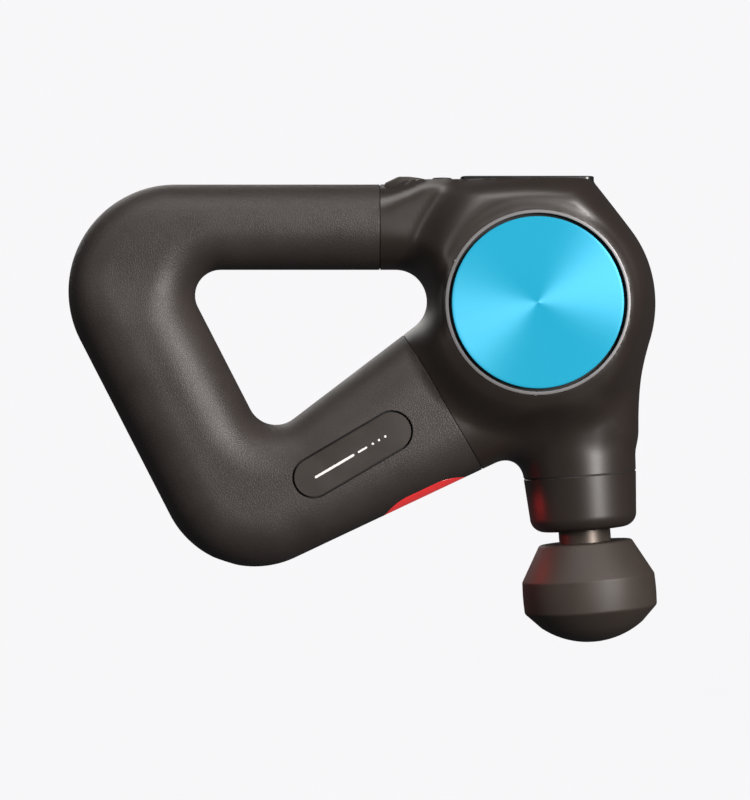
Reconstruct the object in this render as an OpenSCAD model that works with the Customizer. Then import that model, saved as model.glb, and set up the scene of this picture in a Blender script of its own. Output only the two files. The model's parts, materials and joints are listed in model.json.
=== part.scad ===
// Percussion massage gun with a closed triangular handle.
// Units are millimetres. +X points to the front of the head, +Y to its right side, +Z up.
// The origin lies on the shaft axis, in the mouth of the nose cap.

/* [Handle loop] */
// Height of the top bar's upper edge above the origin
bar_top_z = 146.3; // [140:0.1:152]
// Thickness of the top bar seen from the side
bar_h = 36.2; // [30:0.2:43]
// Width of the top bar across the hand
bar_w = 40; // [33:0.5:46]
// Thickness of the rear arm seen from the side
rear_h = 50.8; // [42:0.2:60]
// Width of the rear and lower arms across the hand
arm_w = 46; // [40:0.5:54]
// Length of the finger gap between its two upper corner centres
gap_length = 74.4; // [62:0.2:90]
// Distance from the origin back to the finger gap's front corner centre
gap_front_back = 80.2; // [76:0.1:84]
// Radius of the finger gap's front corner
gap_front_r = 13.4; // [11:0.1:15]
// Radius of the finger gap's upper rear corner
gap_top_r = 10.8; // [9:0.1:13]
// Radius of the finger gap's lower rear corner
gap_low_r = 12.15; // [10:0.05:14]
// Lean of the rear arm from upright, in degrees
rear_lean = 27.2; // [22:0.1:32]
// Slope of the finger gap's lower side, in degrees
gap_slope = 37.3; // [34:0.1:40]
// Slope of the lower arm's underside, in degrees
under_slope = 25.9; // [24:0.1:28]
// Outer radius of the upper rear corner
corner_top_r = 45.4; // [40:0.1:50]
// Outer radius of the lower rear corner
corner_low_r = 40.4; // [36:0.1:45]

/* [Head] */
// Distance from the origin back to the side disc's centre
disc_back = 21.7; // [19:0.1:24]
// Height of the side disc's centre
disc_z = 95.1; // [93:0.1:98]
// Radius of the head's front edge about the side disc's centre
front_r = 51.7; // [50:0.1:54]
// Lean of the sloping edge above the front, in degrees
brow_lean = 36.9; // [34:0.1:40]
// Half the head's width across the side discs, to the bezel rings' faces
head_half_w = 37.2; // [36:0.1:40]
// Height of the flat top of the head shell
deck_z = 147.4; // [146:0.1:149]
// Height of the display panel's face
panel_z = 149.1; // [148.6:0.1:150.4]
// Wall of the head shells
head_wall = 3; // [2.4:0.1:3.6]

/* [Side disc] */
// Radius of the coloured metal disc
disc_r = 35.6; // [32:0.1:36.2]
// Dark gap between the disc and its bezel ring
disc_gap = 1.3; // [0.6:0.1:1.6]
// Width of the bezel ring
bezel_w = 1.4; // [1:0.1:2]
// Depth of the bezel ring's seat in the shell
bezel_seat = 3; // [2.4:0.1:3.6]
// Depth of the disc's face below the bezel ring's face
disc_sunk = 0.8; // [0.2:0.1:1.4]

/* [Grip and frame] */
// Thickness of the silicone grip sleeve
sleeve_t = 2.4; // [1.8:0.1:3]
// Wall of the rigid handle frame under the sleeve
frame_wall = 2.4; // [2:0.1:3]
// Visible gap where the handle meets the head
seam_gap = 0.4; // [0.2:0.1:0.8]
// Length of the side plaque
plaque_len = 53.9; // [44:0.1:60]
// Height of the side plaque
plaque_h = 15.9; // [12:0.1:18]
// Groove around the side plaque
plaque_gap = 0.9; // [0.5:0.1:1.4]

/* [Shaft and drive] */
// Lean of the shaft axis from upright, in degrees
shaft_lean = 4.7; // [0:0.1:6]
// Travel of the shaft
stroke = 16; // [12:0.5:20]
// Radius of the shaft's polished body
shaft_r = 11; // [9:0.1:13.5]
// Height of the drive motor's axis above the origin, along the shaft axis
motor_u = 88; // [86:0.5:92]
// Distance between the connecting rod's two bores
rod_len = 40; // [38:0.5:44]
// Radius of the motor's can
can_r = 25; // [21:0.5:26]
// Running clearance of shafts in their bores
run = 0.05; // [0.02:0.01:0.1]

/* [Nose cap and attachment] */
// Radius of the nose cap at its mouth
nose_r = 22.6; // [21.5:0.1:24]
// Widening of the nose radius for each millimetre up the shaft axis
nose_taper = 0.054; // [0.03:0.001:0.07]
// Height of the nose cap along the shaft axis
cap_u = 23.6; // [21:0.1:25]
// Wall of the nose cap
cap_wall = 2.6; // [2:0.1:3.2]
// Gap between the nose cap and the attachment with the shaft drawn in
neck = 5.5; // [4:0.1:8]
// Radius of the spigot that carries the attachment
spigot_r = 7.5; // [6:0.1:9]
// Length of the spigot
spigot_len = 18; // [14:0.5:20]
// Radius of the attachment at its widest
pad_r = 28.4; // [24:0.1:34]
// Radius of the attachment's upper face
pad_top_r = 19.6; // [17:0.1:22]
// Height of the attachment
pad_h = 42.5; // [38:0.5:50]

/* [Battery and electronics] */
// Radius of a battery cell
cell_r = 9.2; // [7.6:0.1:9.3]
// Length of a battery cell
cell_len = 65; // [54:0.5:66]
// Radius of the round control board
board_r = 27; // [22:0.5:28]
// Length of the display panel
panel_len = 56.2; // [46:0.1:57]
// Width of the display panel
panel_w = 27; // [22:0.5:29]
// Radius of the joystick's cap
stick_r = 4.3; // [3.6:0.1:4.8]
// Press travel of the joystick's cap
stick_press = 0.8; // [0.4:0.1:1]
// Length of the light window
lens_len = 38; // [32:0.5:42]
// Width of the light window
lens_w = 25; // [20:0.5:28]
// Radius of the charging plug's recess
port_r = 5; // [4.2:0.1:5.8]
// Depth of the charging plug's recess
port_depth = 3.4; // [2.6:0.1:4]

/* [Hidden] */
$fn = 64;

// ---- plane geometry: points are [x, z], seen from the left side ----

function dir(a) = [cos(a), sin(a)];
function lerp(a, b, t) = a + (b - a) * t;
// Value of a straight edge with normal angle a through point p
function edge_at(a, p) = dir(a) * p;
// Centre of a circle of radius r that touches two edges from inside
function corner(a, edge_a, b, edge_b, r) =
  let (n = dir(a), m = dir(b), p = edge_a - r, q = edge_b - r, d = n.x * m.y - n.y * m.x)
  [(p * m.y - n.y * q) / d, (n.x * q - m.x * p) / d];

bar_low_z = bar_top_z - bar_h;
rear_a = 180 + rear_lean;
gap_a = gap_slope - 90;
under_a = under_slope - 90;
brow_a = brow_lean;
disc_c = [-disc_back, disc_z];

gap_front_c = [-gap_front_back, bar_low_z - gap_front_r];
gap_top_c = [-gap_front_back - gap_length, bar_low_z - gap_top_r];
gap_rear_edge = edge_at(rear_a, gap_top_c) + gap_top_r;
gap_low_edge = edge_at(gap_a, gap_front_c) + gap_front_r;
gap_low_c = corner(rear_a, gap_rear_edge, gap_a, gap_low_edge, gap_low_r);

// Where the lower arm's underside meets the nose
chin = [-disc_back - 18.3, 28.1];
rear_edge = gap_rear_edge + rear_h;
under_edge = edge_at(under_a, chin);
corner_top_c = corner(90, bar_top_z, rear_a, rear_edge, corner_top_r);
corner_low_c = corner(rear_a, rear_edge, under_a, under_edge, corner_low_r);

// The head's edge: a hollow curve up the front of the nose, the round front, the sloping brow
hollow_r = 133;
hollow_drop = 53;
hollow_c = disc_c + [sqrt(pow(front_r + hollow_r, 2) - pow(hollow_drop, 2)), -hollow_drop];
hollow_a = -asin(hollow_drop / (front_r + hollow_r));
crown_z = deck_z + 5;
crown_r = 5;
crown_c = corner(brow_a, edge_at(brow_a, disc_c) + front_r, 90, crown_z, crown_r);

// Seams between head and handle
top_seam_x = -gap_front_back - 6.6;
low_seam_a = 30.5;
low_seam_p = [-gap_front_back + 4, disc_z - 13.9];

// ---- the body surface: rungs run from the outer edge to the finger gap ----

arc_steps = 10;
function rung(o, i, w) = [o, i, w];
bar_rungs = [for (i = [0:4]) let (t = i / 4)
  rung(lerp([top_seam_x, bar_top_z], [corner_top_c.x, bar_top_z], t),
       lerp([top_seam_x, bar_low_z], [gap_top_c.x, bar_low_z], t), bar_w / 2)];
top_rungs = [for (i = [1:arc_steps]) let (t = i / arc_steps, a = lerp(90, rear_a, t))
  rung(corner_top_c + corner_top_r * dir(a), gap_top_c + gap_top_r * dir(a),
       lerp(bar_w, arm_w, t) / 2)];
low_rungs = [for (i = [0:arc_steps]) let (t = i / arc_steps)
  rung(corner_low_c + corner_low_r * dir(lerp(rear_a, under_a + 360, t)),
       gap_low_c + gap_low_r * dir(lerp(rear_a, gap_a + 360, t)), arm_w / 2)];
rear_rungs = [for (i = [1:2]) let (a = top_rungs[arc_steps - 1], b = low_rungs[0])
  rung(lerp(a[0], b[0], i / 3), lerp(a[1], b[1], i / 3), arm_w / 2)];
seam_rung = rung(chin - 6.2 * dir(under_a + 90), gap_front_c + gap_front_r * dir(gap_a)
  - 5.5 * dir(gap_a + 90), arm_w / 2 + 1);
under_rungs = [for (i = [1:3]) let (a = low_rungs[arc_steps], t = i / 4)
  rung(lerp(a[0], seam_rung[0], t), lerp(a[1], seam_rung[1], t), arm_w / 2)];

head_edge = concat(
  [chin, lerp(chin, [hollow_c.x - hollow_r, 42], 0.35), lerp(chin, [hollow_c.x - hollow_r, 42], 0.75)],
  [for (i = [0:3]) hollow_c + hollow_r * dir(lerp(180, 180 + hollow_a, i / 3))],
  [for (i = [1:7]) disc_c + front_r * dir(lerp(hollow_a, brow_a, i / 7))],
  [for (i = [0:4]) crown_c + crown_r * dir(lerp(brow_a, 90, i / 4))],
  [lerp(crown_c + [0, crown_r], [-66, crown_z], 0.5), [-66, crown_z], [-77, crown_z - 1]]);
head_n = len(head_edge);
head_rungs = [for (i = [0:head_n - 1])
  rung(head_edge[i], gap_front_c + gap_front_r * dir(lerp(gap_a, 90, i / (head_n - 1))),
       (arm_w + 2) / 2)];
rungs = concat(bar_rungs, top_rungs, rear_rungs, low_rungs, under_rungs, [seam_rung], head_rungs);

// Half width of the body at a point, which swells to the side discs
drum_half = head_half_w - 0.7;
drum_r = disc_r + disc_gap + bezel_w + 1.7;
function smooth(t) = let (c = min(1, max(0, t))) c * c * (3 - 2 * c);
swell = 28;
function half_width(p, w) = lerp(w, drum_half, smooth(1 - (norm(p - disc_c) - drum_r) / swell));
// Depth of the rounding at an edge point, kept outside the side disc
function edge_depth(p, d) = min(0.42 * d, 24, max(5.6, norm(p - disc_c) - drum_r + 1));
edge_steps = 5;
mid_steps = 5;
function bulge(s) = let (c = 1 - min(1, s)) sqrt(max(0, 1 - c * c));

// The points of one rung, inset from the surface by t, outer edge first
function rung_points(r, t) =
  let (along = (r[1] - r[0]) / norm(r[1] - r[0]), o = r[0] + t * along, i = r[1] - t * along,
       d = norm(i - o), ro = edge_depth(r[0], d), ri = edge_depth(r[1], d),
       spots = concat([for (k = [0:edge_steps]) ro * (1 - cos(90 * k / edge_steps))],
                      [for (k = [1:mid_steps - 1]) ro + (d - ro - ri) * k / mid_steps],
                      [for (k = [edge_steps:-1:0]) d - ri * (1 - cos(90 * k / edge_steps))]),
       n = len(spots),
       side = [for (s = spots) let (p = o + s * along)
         [p.x, -(half_width(p, r[2]) - t) * bulge(s / ro) * bulge((d - s) / ri), p.y]])
  concat(side, [for (k = [n - 2:-1:1]) [side[k].x, -side[k].y, side[k].z]]);

// Closed ring solid that follows the whole handle loop and the head, inset by t
module loop_solid(t) {
  rows = [for (r = rungs) rung_points(r, t)];
  m = len(rows[0]);
  n = len(rows);
  polyhedron(
    points = [for (row = rows) each row],
    faces = [for (i = [0:n - 1], j = [0:m - 1])
      let (a = i * m + j, b = i * m + (j + 1) % m, c = ((i + 1) % n) * m + (j + 1) % m,
           d = ((i + 1) % n) * m + j)
      each [[a, b, c], [a, c, d]]],
    convexity = 8);
}

// ---- placing helpers ----

module on_shaft(u = 0) rotate([0, -shaft_lean, 0]) translate([0, 0, u]) children();
module along_y(y = 0) translate([0, y, 0]) rotate([-90, 0, 0]) children();
module at_disc() translate([disc_c.x, 0, disc_c.y]) children();
module at_motor() on_shaft(motor_u) children();
// Places children with local X along a slope in the side view and local Z outwards to the left or right
module on_side(p, slope, side) translate([p.x, 0, p.y]) rotate([90, -slope, 0])
  mirror([0, 0, side > 0 ? 1 : 0]) children();
// Joins its children into one mesh body
module as_mesh() resize([0, 0, 0]) children();
module ring(r_out, r_in, h) difference() {
  cylinder(r = r_out, h = h);
  translate([0, 0, -1]) cylinder(r = r_in, h = h + 2);
}
module stadium(len, w, h) linear_extrude(h) hull()
  for (s = [-1, 1]) translate([s * (len - w) / 2, 0]) circle(w / 2, $fn = 40);
module half_space(side) translate([-300, side > 0 ? 0 : -100, -100]) cube([400, 100, 300]);

// Nose radius at height u along the shaft axis
function nose_at(u) = nose_r + nose_taper * u;
nose_up = 62;
module nose_cone(t, from) on_shaft(from)
  cylinder(r1 = nose_at(from) - t, r2 = nose_at(nose_up) - t, h = nose_up - from, $fn = 72);

// Solid outer form of the whole body, inset by t
module body_form(t) {
  loop_solid(t);
  nose_cone(t, cap_u);
  at_disc() along_y(-drum_half + t) cylinder(r = drum_r - t, h = 2 * (drum_half - t), $fn = 72);
}

// Region of the head in the side view, drawn back from the seams by g
module head_zone(g) along_y(60) rotate([180, 0, 0]) linear_extrude(120) {
  s = low_seam_p + g * dir(low_seam_a);
  polygon([[top_seam_x + g, 260], [top_seam_x + g, gap_front_c.y], s + 12 * dir(low_seam_a + 90),
           s - 120 * dir(low_seam_a + 90), [200, -60], [200, 260]]);
}

// ---- head shells ----

post_angles = [60, 150, 240];
post_circle = disc_r - 2.6;
post_r = 3.5;
module at_posts() for (a = post_angles)
  translate([disc_c.x + post_circle * cos(a), 0, disc_c.y + post_circle * sin(a)]) children();

ear_angles = [20, 110, 200, 290];
ear_circle = can_r + 4.9;
bracket_y = 11;
bracket_t = 2.5;
module at_ears() at_motor() for (a = ear_angles)
  translate([ear_circle * cos(a), 0, ear_circle * sin(a)]) children();

recess_floor = head_half_w - bezel_seat - 0.7;
cavity_half = recess_floor - head_wall;
seat_r = disc_r + disc_gap + bezel_w;
shell_screw_r = 1.5;
head_screw_r = 2.8;
flange_u = 31;
flange_t = 3;
flange_r = nose_at(flange_u) - head_wall - 0.3;

stick_x = -60.4;
stick_clear = 1.1;
dish_r = stick_r + 2.6;
panel_x = 3.4 - panel_len / 2;
hump_x = [-84.5, -79.1, -69.8, -66.6];

// The raised lip behind the joystick and the front lip of the deck
module hump() along_y(13) rotate([180, 0, 0]) linear_extrude(26)
  polygon([[hump_x[0], deck_z - 6], [hump_x[0], deck_z - 1.1], [hump_x[1], panel_z],
           [hump_x[2], panel_z - 0.6], [hump_x[3], deck_z + 0.3], [hump_x[3], deck_z - 6]]);

module deck_cut() translate([-120, -60, deck_z]) cube([200, 120, 40]);

module rounded_plate(len, w, h, r) linear_extrude(h) hull()
  for (x = [-1, 1], y = [-1, 1]) translate([x * (len / 2 - r), y * (w / 2 - r)]) circle(r, $fn = 32);

panel_sink = 1.4;
module panel_pocket(clear) translate([panel_x, 0, deck_z - panel_sink])
  rounded_plate(panel_len + 2 * clear, panel_w + 2 * clear, 20, 4 + clear);

board_y = -25;
board_t = 1.6;
board_post_angles = [10, 100, 190, 280];
board_post_circle = board_r - 3.4;
module at_board_posts() for (a = board_post_angles)
  translate([disc_c.x + board_post_circle * cos(a), 0, disc_c.y + board_post_circle * sin(a)]) children();

module head_cavity() {
  difference() {
    intersection() {
      union() {
        loop_solid(head_wall);
        at_disc() along_y(-cavity_half) cylinder(r = drum_r - head_wall, h = 2 * cavity_half, $fn = 72);
      }
      translate([-300, -cavity_half, -100]) cube([600, 2 * cavity_half, 100 + deck_z - head_wall]);
    }
    // Web that closes the head towards the handle
    along_y(60) rotate([180, 0, 0]) linear_extrude(120)
      polygon([[-300, -60], low_seam_p + 3 * dir(low_seam_a) - 120 * dir(low_seam_a + 90),
               low_seam_p + 3 * dir(low_seam_a) + 14 * dir(low_seam_a + 90),
               [top_seam_x + 3, gap_front_c.y], [top_seam_x + 3, 260], [-300, 260]]);
  }
  nose_cone(head_wall, cap_u - 1);
}

module head_shell(side) color("dimgray") as_mesh() intersection() {
  union() {
    difference() {
      intersection() {
        union() {
          difference() {
            body_form(0);
            deck_cut();
            head_cavity();
          }
          intersection() {
            union() {
              // Posts that take the long shell screws
              at_posts() along_y(-recess_floor) cylinder(r = post_r, h = 2 * recess_floor, $fn = 24);
              // Bosses behind the bracket's ears
              at_ears() along_y(bracket_y + bracket_t + 2.1) cylinder(r = 4, h = 40, $fn = 24);
              // Stand-offs for the control board
              at_board_posts() along_y(-recess_floor)
                cylinder(r = 2.6, h = recess_floor + board_y, $fn = 20);
              // Ledges that hold the guide housing's flange
              for (u = [flange_u - 3.2, flange_u + flange_t + 0.2]) on_shaft(u)
                ring(nose_at(u), flange_r - 3, 3, $fn = 48);
            }
            body_form(1);
          }
        }
        head_zone(seam_gap / 2);
      }
      for (s = [-1, 1]) at_disc() along_y(s > 0 ? recess_floor : -recess_floor - 20)
        cylinder(r = seat_r + 0.1, h = 20, $fn = 72);
      at_posts() along_y(-12) cylinder(r = shell_screw_r, h = 70, $fn = 20);
      at_posts() along_y(recess_floor - 2) cylinder(r = head_screw_r + 0.3, h = 20, $fn = 20);
      at_ears() along_y(0) cylinder(r = 1.25, h = bracket_y + bracket_t + 8, $fn = 16);
      at_board_posts() along_y(board_y - 6) cylinder(r = 0.9, h = 12, $fn = 16);
      panel_pocket(0.15);
      lead_gate();
      translate([panel_x, 0, deck_z - 20]) rounded_plate(panel_len - 12, panel_w - 7, 20, 3);
      translate([stick_x, 0, deck_z - 20]) cylinder(r = stick_r + stick_clear, h = 40, $fn = 40);
      translate([stick_x, 0, deck_z - 0.8])
        cylinder(r1 = stick_r + stick_clear + 0.2, r2 = dish_r, h = 0.9, $fn = 40);
    }
    intersection() {
      difference() {
        hump();
        translate([stick_x, 0, deck_z - 0.8]) cylinder(r = dish_r, h = 10, $fn = 40);
        head_cavity();
      }
      head_zone(seam_gap / 2);
    }
  }
  half_space(side);
}

// ---- handle ----

plaque_p = [-98.2, 32.1];
plaque_slope = 30.4;
lens_p = edge_at(under_a, chin) * dir(under_a)
  + (edge_at(under_a + 90, chin) - 31) * dir(under_a + 90);
module at_lens() translate([lens_p.x, 0, lens_p.y]) rotate([0, -under_slope, 0]) children();
module lens_prism(clear, depth) at_lens() translate([0, 0, -20])
  stadium(lens_len + 2 * clear, lens_w + 2 * clear, 20 + depth);
module plaque_prism(side, clear) on_side(plaque_p, plaque_slope, side)
  translate([0, 0, 4]) stadium(plaque_len + 2 * clear, plaque_h + 2 * clear, 30);

port_a = 252;
port_p = corner_low_c + corner_low_r * dir(port_a);
module at_port() translate([port_p.x, 0, port_p.y]) rotate([0, 90 - port_a, 0]) children();
jack_r = port_r + 1.8;
jack_len = 15;

module handle_zone(side) difference() {
  half_space(side);
  head_zone(-seam_gap / 2);
}

module grip_sleeve(side) color("#3b3735") as_mesh() difference() {
  intersection() {
    loop_solid(0);
    handle_zone(side);
  }
  loop_solid(sleeve_t);
  plaque_prism(-1, plaque_gap);
  plaque_prism(1, plaque_gap);
  lens_prism(0.2, 12);
  at_port() translate([0, 0, -20]) cylinder(r = jack_r + 0.1, h = 40, $fn = 32);
}

module handle_frame(side) color("#2a2827") as_mesh() difference() {
  intersection() {
    loop_solid(sleeve_t + 0.05);
    handle_zone(side);
  }
  loop_solid(sleeve_t + frame_wall);
  lens_prism(0.2, 12);
  at_port() translate([0, 0, -20]) cylinder(r = jack_r + 0.1, h = 40, $fn = 32);
}

module side_plaque(side) color("#45403d") as_mesh() intersection() {
  difference() {
    loop_solid(0);
    loop_solid(sleeve_t - 0.1);
  }
  plaque_prism(side, 0);
}

// ---- side discs ----

module facing(side) mirror([0, side < 0 ? 1 : 0, 0]) children();

module bezel_ring(side) color("#8d8a88") facing(side) at_disc() along_y(recess_floor)
  rotate_extrude($fn = 96) polygon([
    [disc_r + disc_gap, 0], [seat_r, 0], [seat_r, head_half_w - recess_floor - 0.9],
    [seat_r - bezel_w * 0.6, head_half_w - recess_floor],
    [disc_r + disc_gap, head_half_w - recess_floor]]);

module side_disc(side) color("#37c8ee") facing(side) at_disc() along_y(recess_floor)
  rotate_extrude($fn = 96) polygon([
    [0, 0], [disc_r - 0.4, 0], [disc_r, 0.4], [disc_r, head_half_w - disc_sunk - recess_floor - 0.3],
    [disc_r - 0.3, head_half_w - disc_sunk - recess_floor], [0, head_half_w - disc_sunk - recess_floor]]);

// ---- nose ----

mouth_r = shaft_r + 0.6;
cap_round = 6;
seal_u = 1.2;
seal_t = 2.4;
seal_r = shaft_r + 3.2;
gasket_t = 0.5;
cap_top = cap_u - gasket_t;
cap_floor = 4.4;

module nose_cap() color("#4b4744") on_shaft() difference() {
  union() {
    rotate_extrude() {
      translate([nose_at(0) - cap_round, cap_round]) intersection() {
        circle(cap_round);
        translate([0, -cap_round]) square(cap_round);
      }
      square([nose_at(0) - cap_round, cap_round]);
      polygon([[0, cap_round], [nose_at(0), cap_round], [nose_at(cap_top), cap_top], [0, cap_top]]);
    }
    cylinder(r = nose_at(cap_u) - head_wall - 0.15, h = cap_u + 3.6);
  }
  translate([0, 0, -1]) cylinder(r = mouth_r, h = 60);
  translate([0, 0, seal_u]) cylinder(r = seal_r, h = seal_t);
  translate([0, 0, cap_floor]) cylinder(r = nose_at(0) - cap_wall - 1.8, h = 60);
}

module nose_gasket() color("#141312") on_shaft(cap_top)
  ring(nose_at(cap_u) - 0.35, nose_at(cap_u) - head_wall - 0.1, gasket_t);

module mouth_seal() color("#1b1a1a") on_shaft(seal_u) ring(seal_r, shaft_r + run, seal_t);

// ---- shaft guide ----

bush_t = 2;
bush_len = 8;
guide_low = 5;
guide_high = flange_u + flange_t;
guide_r = shaft_r + bush_t + 2.5;

module guide_housing() color("#77736f") on_shaft() difference() {
  union() {
    translate([0, 0, guide_low]) cylinder(r = guide_r, h = guide_high - guide_low);
    translate([0, 0, flange_u]) cylinder(r = flange_r, h = flange_t);
  }
  translate([0, 0, guide_low - 1]) cylinder(r = shaft_r + bush_t, h = bush_len + 1);
  translate([0, 0, guide_low - 1]) cylinder(r = shaft_r + 0.6, h = 60);
  translate([0, 0, guide_high - bush_len]) cylinder(r = shaft_r + bush_t, h = bush_len + 1);
}

module guide_bush(u) color("#b08d57") on_shaft(u) ring(shaft_r + bush_t, shaft_r + run, bush_len);

// ---- shaft, rod and crank ----

throw = stroke / 2;
wrist_u = motor_u + throw - rod_len;
wrist_r = 3;
rod_t = 7;
rod_gap = 0.5;
cheek_t = 3.6;
fork_len = wrist_u + 8;
shaft_top = wrist_u - 9;
shaft_low = -neck;

module output_shaft() color("#8f8c89") on_shaft() difference() {
  union() {
    translate([0, 0, shaft_low]) cylinder(r = shaft_r, h = shaft_top - shaft_low);
    translate([0, 0, shaft_low - spigot_len]) cylinder(r = spigot_r, h = spigot_len + 1);
    for (s = [-1, 1]) translate([-6.5, s > 0 ? rod_t / 2 + rod_gap : -rod_t / 2 - rod_gap - cheek_t,
                                 shaft_top - 1])
      cube([13, cheek_t, fork_len - shaft_top + 1]);
  }
  translate([0, 0, shaft_low - spigot_len - 1])
    cylinder(r = spigot_r - 3, h = spigot_len + shaft_top - shaft_low - 4);
  translate([0, 0, shaft_low - spigot_len * 0.72]) ring(spigot_r + 1, spigot_r - 1, 2);
  translate([0, 0, wrist_u]) along_y(-20) cylinder(r = wrist_r, h = 40);
}

module detent_ring() color("#1f1e1e") on_shaft(shaft_low - spigot_len * 0.72 + 0.1)
  ring(spigot_r - 0.05, spigot_r - 1, 1.8);

wrist_half = rod_t / 2 + rod_gap + cheek_t;
module wrist_pin() color("#c9c7c4") on_shaft(wrist_u) along_y(-wrist_half)
  cylinder(r = wrist_r, h = 2 * wrist_half);

big_r = 12.5;
bearing_r = 9.5;
crank_pin_r = 4;
module connecting_rod() color("#9aa0a4") on_shaft(wrist_u) difference() {
  union() {
    along_y(-rod_t / 2) cylinder(r = 6, h = rod_t);
    translate([0, 0, rod_len]) along_y(-rod_t / 2) cylinder(r = big_r, h = rod_t);
    translate([-4, -rod_t / 2, 3]) cube([8, rod_t, rod_len - 10]);
  }
  along_y(-20) cylinder(r = wrist_r + run, h = 40);
  translate([0, 0, rod_len]) along_y(-20) cylinder(r = bearing_r, h = 40);
  for (s = [-1, 1]) translate([-2.2, s > 0 ? rod_t / 2 - 2 : -rod_t / 2 - 8, 9])
    cube([4.4, 10, rod_len - 26]);
}

module rod_bearing() color("#d0cfcd") on_shaft(wrist_u + rod_len) along_y(-rod_t / 2 + 0.5)
  ring(bearing_r, crank_pin_r, rod_t - 1);

eccentric_y = rod_t / 2 + 1.2;
eccentric_t = 5;
module crank_pin() color("#b9b7b4") on_shaft(wrist_u + rod_len) {
  along_y(-rod_t / 2 - 1) cylinder(r = crank_pin_r, h = rod_t / 2 + 1 + eccentric_y - 0.3);
  along_y(-rod_t / 2 - 2.4) cylinder(r = crank_pin_r + 1.6, h = 1.6);
}

motor_shaft_r = 4;
weight_r = can_r - 4;
module eccentric() color("#6f7478") at_motor() along_y(eccentric_y) difference() {
  union() {
    cylinder(r = throw + crank_pin_r + 2, h = eccentric_t);
    intersection() {
      cylinder(r = weight_r, h = eccentric_t);
      translate([-weight_r, 3, 0]) cube([2 * weight_r, weight_r, eccentric_t]);
    }
  }
  translate([0, 0, eccentric_t - 4]) cylinder(r = motor_shaft_r, h = 20);
  translate([0, -throw, -1]) cylinder(r = crank_pin_r + 0.1, h = 3.5);
}

// ---- motor ----

can_front = bracket_y + bracket_t;
can_back = cavity_half - 0.9;
core_front = can_front + 3.4;
core_back = can_back - 6;
can_wall = 1.2;
slots = 9;
magnets = 8;
rotor_r = can_r * 0.6;
magnet_t = 2;
air_gap = 0.6;
tooth_r = rotor_r + magnet_t + air_gap;
back_iron = 3;
bearing_out = 8;
bearing_w = 4;
front_bearing_w = 5;
screw_circle = can_r - 4;

module motor_shaft() color("#c9c7c4") at_motor() along_y(eccentric_y + 1 + run)
  cylinder(r = motor_shaft_r, h = can_back - 1.4 - eccentric_y - 1);

module rotor_core() color("#5d6063") at_motor() along_y(core_front)
  ring(rotor_r, motor_shaft_r, core_back - core_front);

module rotor_magnets() color("#3c3f42") at_motor() along_y(core_front) difference() {
  ring(rotor_r + magnet_t, rotor_r, core_back - core_front);
  for (i = [0:magnets - 1]) rotate(i * 360 / magnets) translate([0, -0.4, -1])
    cube([rotor_r + 5, 0.8, core_back - core_front + 2]);
}

tooth_w = 4.2;
half_slot = 180 / slots;
slot_apex = tooth_w / 2 / sin(half_slot);
slot_reach = 40;
iron_r = can_r - can_wall - back_iron;
module stator_core() color("#8b8e90") at_motor() along_y(core_front) difference() {
  ring(can_r - can_wall, tooth_r, core_back - core_front);
  for (i = [0:slots - 1]) rotate((i + 0.5) * 360 / slots) intersection() {
    translate([0, 0, -1]) linear_extrude(core_back - core_front + 2) polygon([
      [slot_apex, 0],
      [slot_apex + slot_reach * cos(half_slot), -slot_reach * sin(half_slot)],
      [slot_apex + slot_reach * cos(half_slot), slot_reach * sin(half_slot)]]);
    translate([0, 0, -2]) cylinder(r = iron_r, h = core_back - core_front + 4);
  }
}

coil_t = 1.4;
module stator_coils() color("#b06a2c") at_motor() along_y(core_front)
  for (i = [0:slots - 1]) rotate(i * 360 / slots) translate([tooth_r + 0.6, 0, 0]) difference() {
    translate([0, -tooth_w / 2 - coil_t, -1.6])
      cube([can_r - can_wall - back_iron - tooth_r - 1.2, tooth_w + 2 * coil_t,
            core_back - core_front + 3.2]);
    translate([-1, -tooth_w / 2, 0]) cube([20, tooth_w, core_back - core_front]);
  }

module motor_can() color("#55585b") at_motor() along_y(can_front) difference() {
  cylinder(r = can_r, h = can_back - can_front);
  difference() {
    translate([0, 0, -1]) cylinder(r = can_r - can_wall, h = can_back - can_front - 0.2);
    translate([0, 0, can_back - can_front - 1.2 - bearing_w]) cylinder(r = bearing_out + 1.6, h = 20);
  }
  translate([0, 0, can_back - can_front - 1.2 - bearing_w - 1])
    cylinder(r = bearing_out, h = bearing_w + 1);
  for (i = [0:5]) rotate(i * 60) translate([can_r - 8, 0, can_back - can_front - 3])
    cylinder(r = 2.2, h = 5);
}

module motor_bearing(y, w) color("#d0cfcd") at_motor() along_y(y) difference() {
  ring(bearing_out, motor_shaft_r + run, w);
  translate([0, 0, w - 0.4]) ring(bearing_out - 1.1, motor_shaft_r + 1.2, 1);
}

module motor_bracket() color("#6b6e70") at_motor() difference() {
  union() {
    along_y(bracket_y) cylinder(r = can_r, h = bracket_t);
    along_y(bracket_y) cylinder(r = bearing_out + 2.2, h = front_bearing_w);
    for (a = ear_angles) hull() {
      along_y(bracket_y) cylinder(r = 6, h = bracket_t, $fn = 32);
      translate([ear_circle * cos(a), 0, ear_circle * sin(a)]) along_y(bracket_y)
        cylinder(r = 4.6, h = bracket_t, $fn = 32);
    }
  }
  along_y(bracket_y - 1) cylinder(r = bearing_out, h = 20);
  for (a = ear_angles) translate([ear_circle * cos(a), 0, ear_circle * sin(a)])
    along_y(bracket_y - 1) cylinder(r = 2.6, h = 20);
  for (i = [0:3]) rotate([0, 65 + 90 * i, 0]) translate([screw_circle, 0, 0])
    along_y(bracket_y - 1) cylinder(r = 1.3, h = 20);
}

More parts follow.
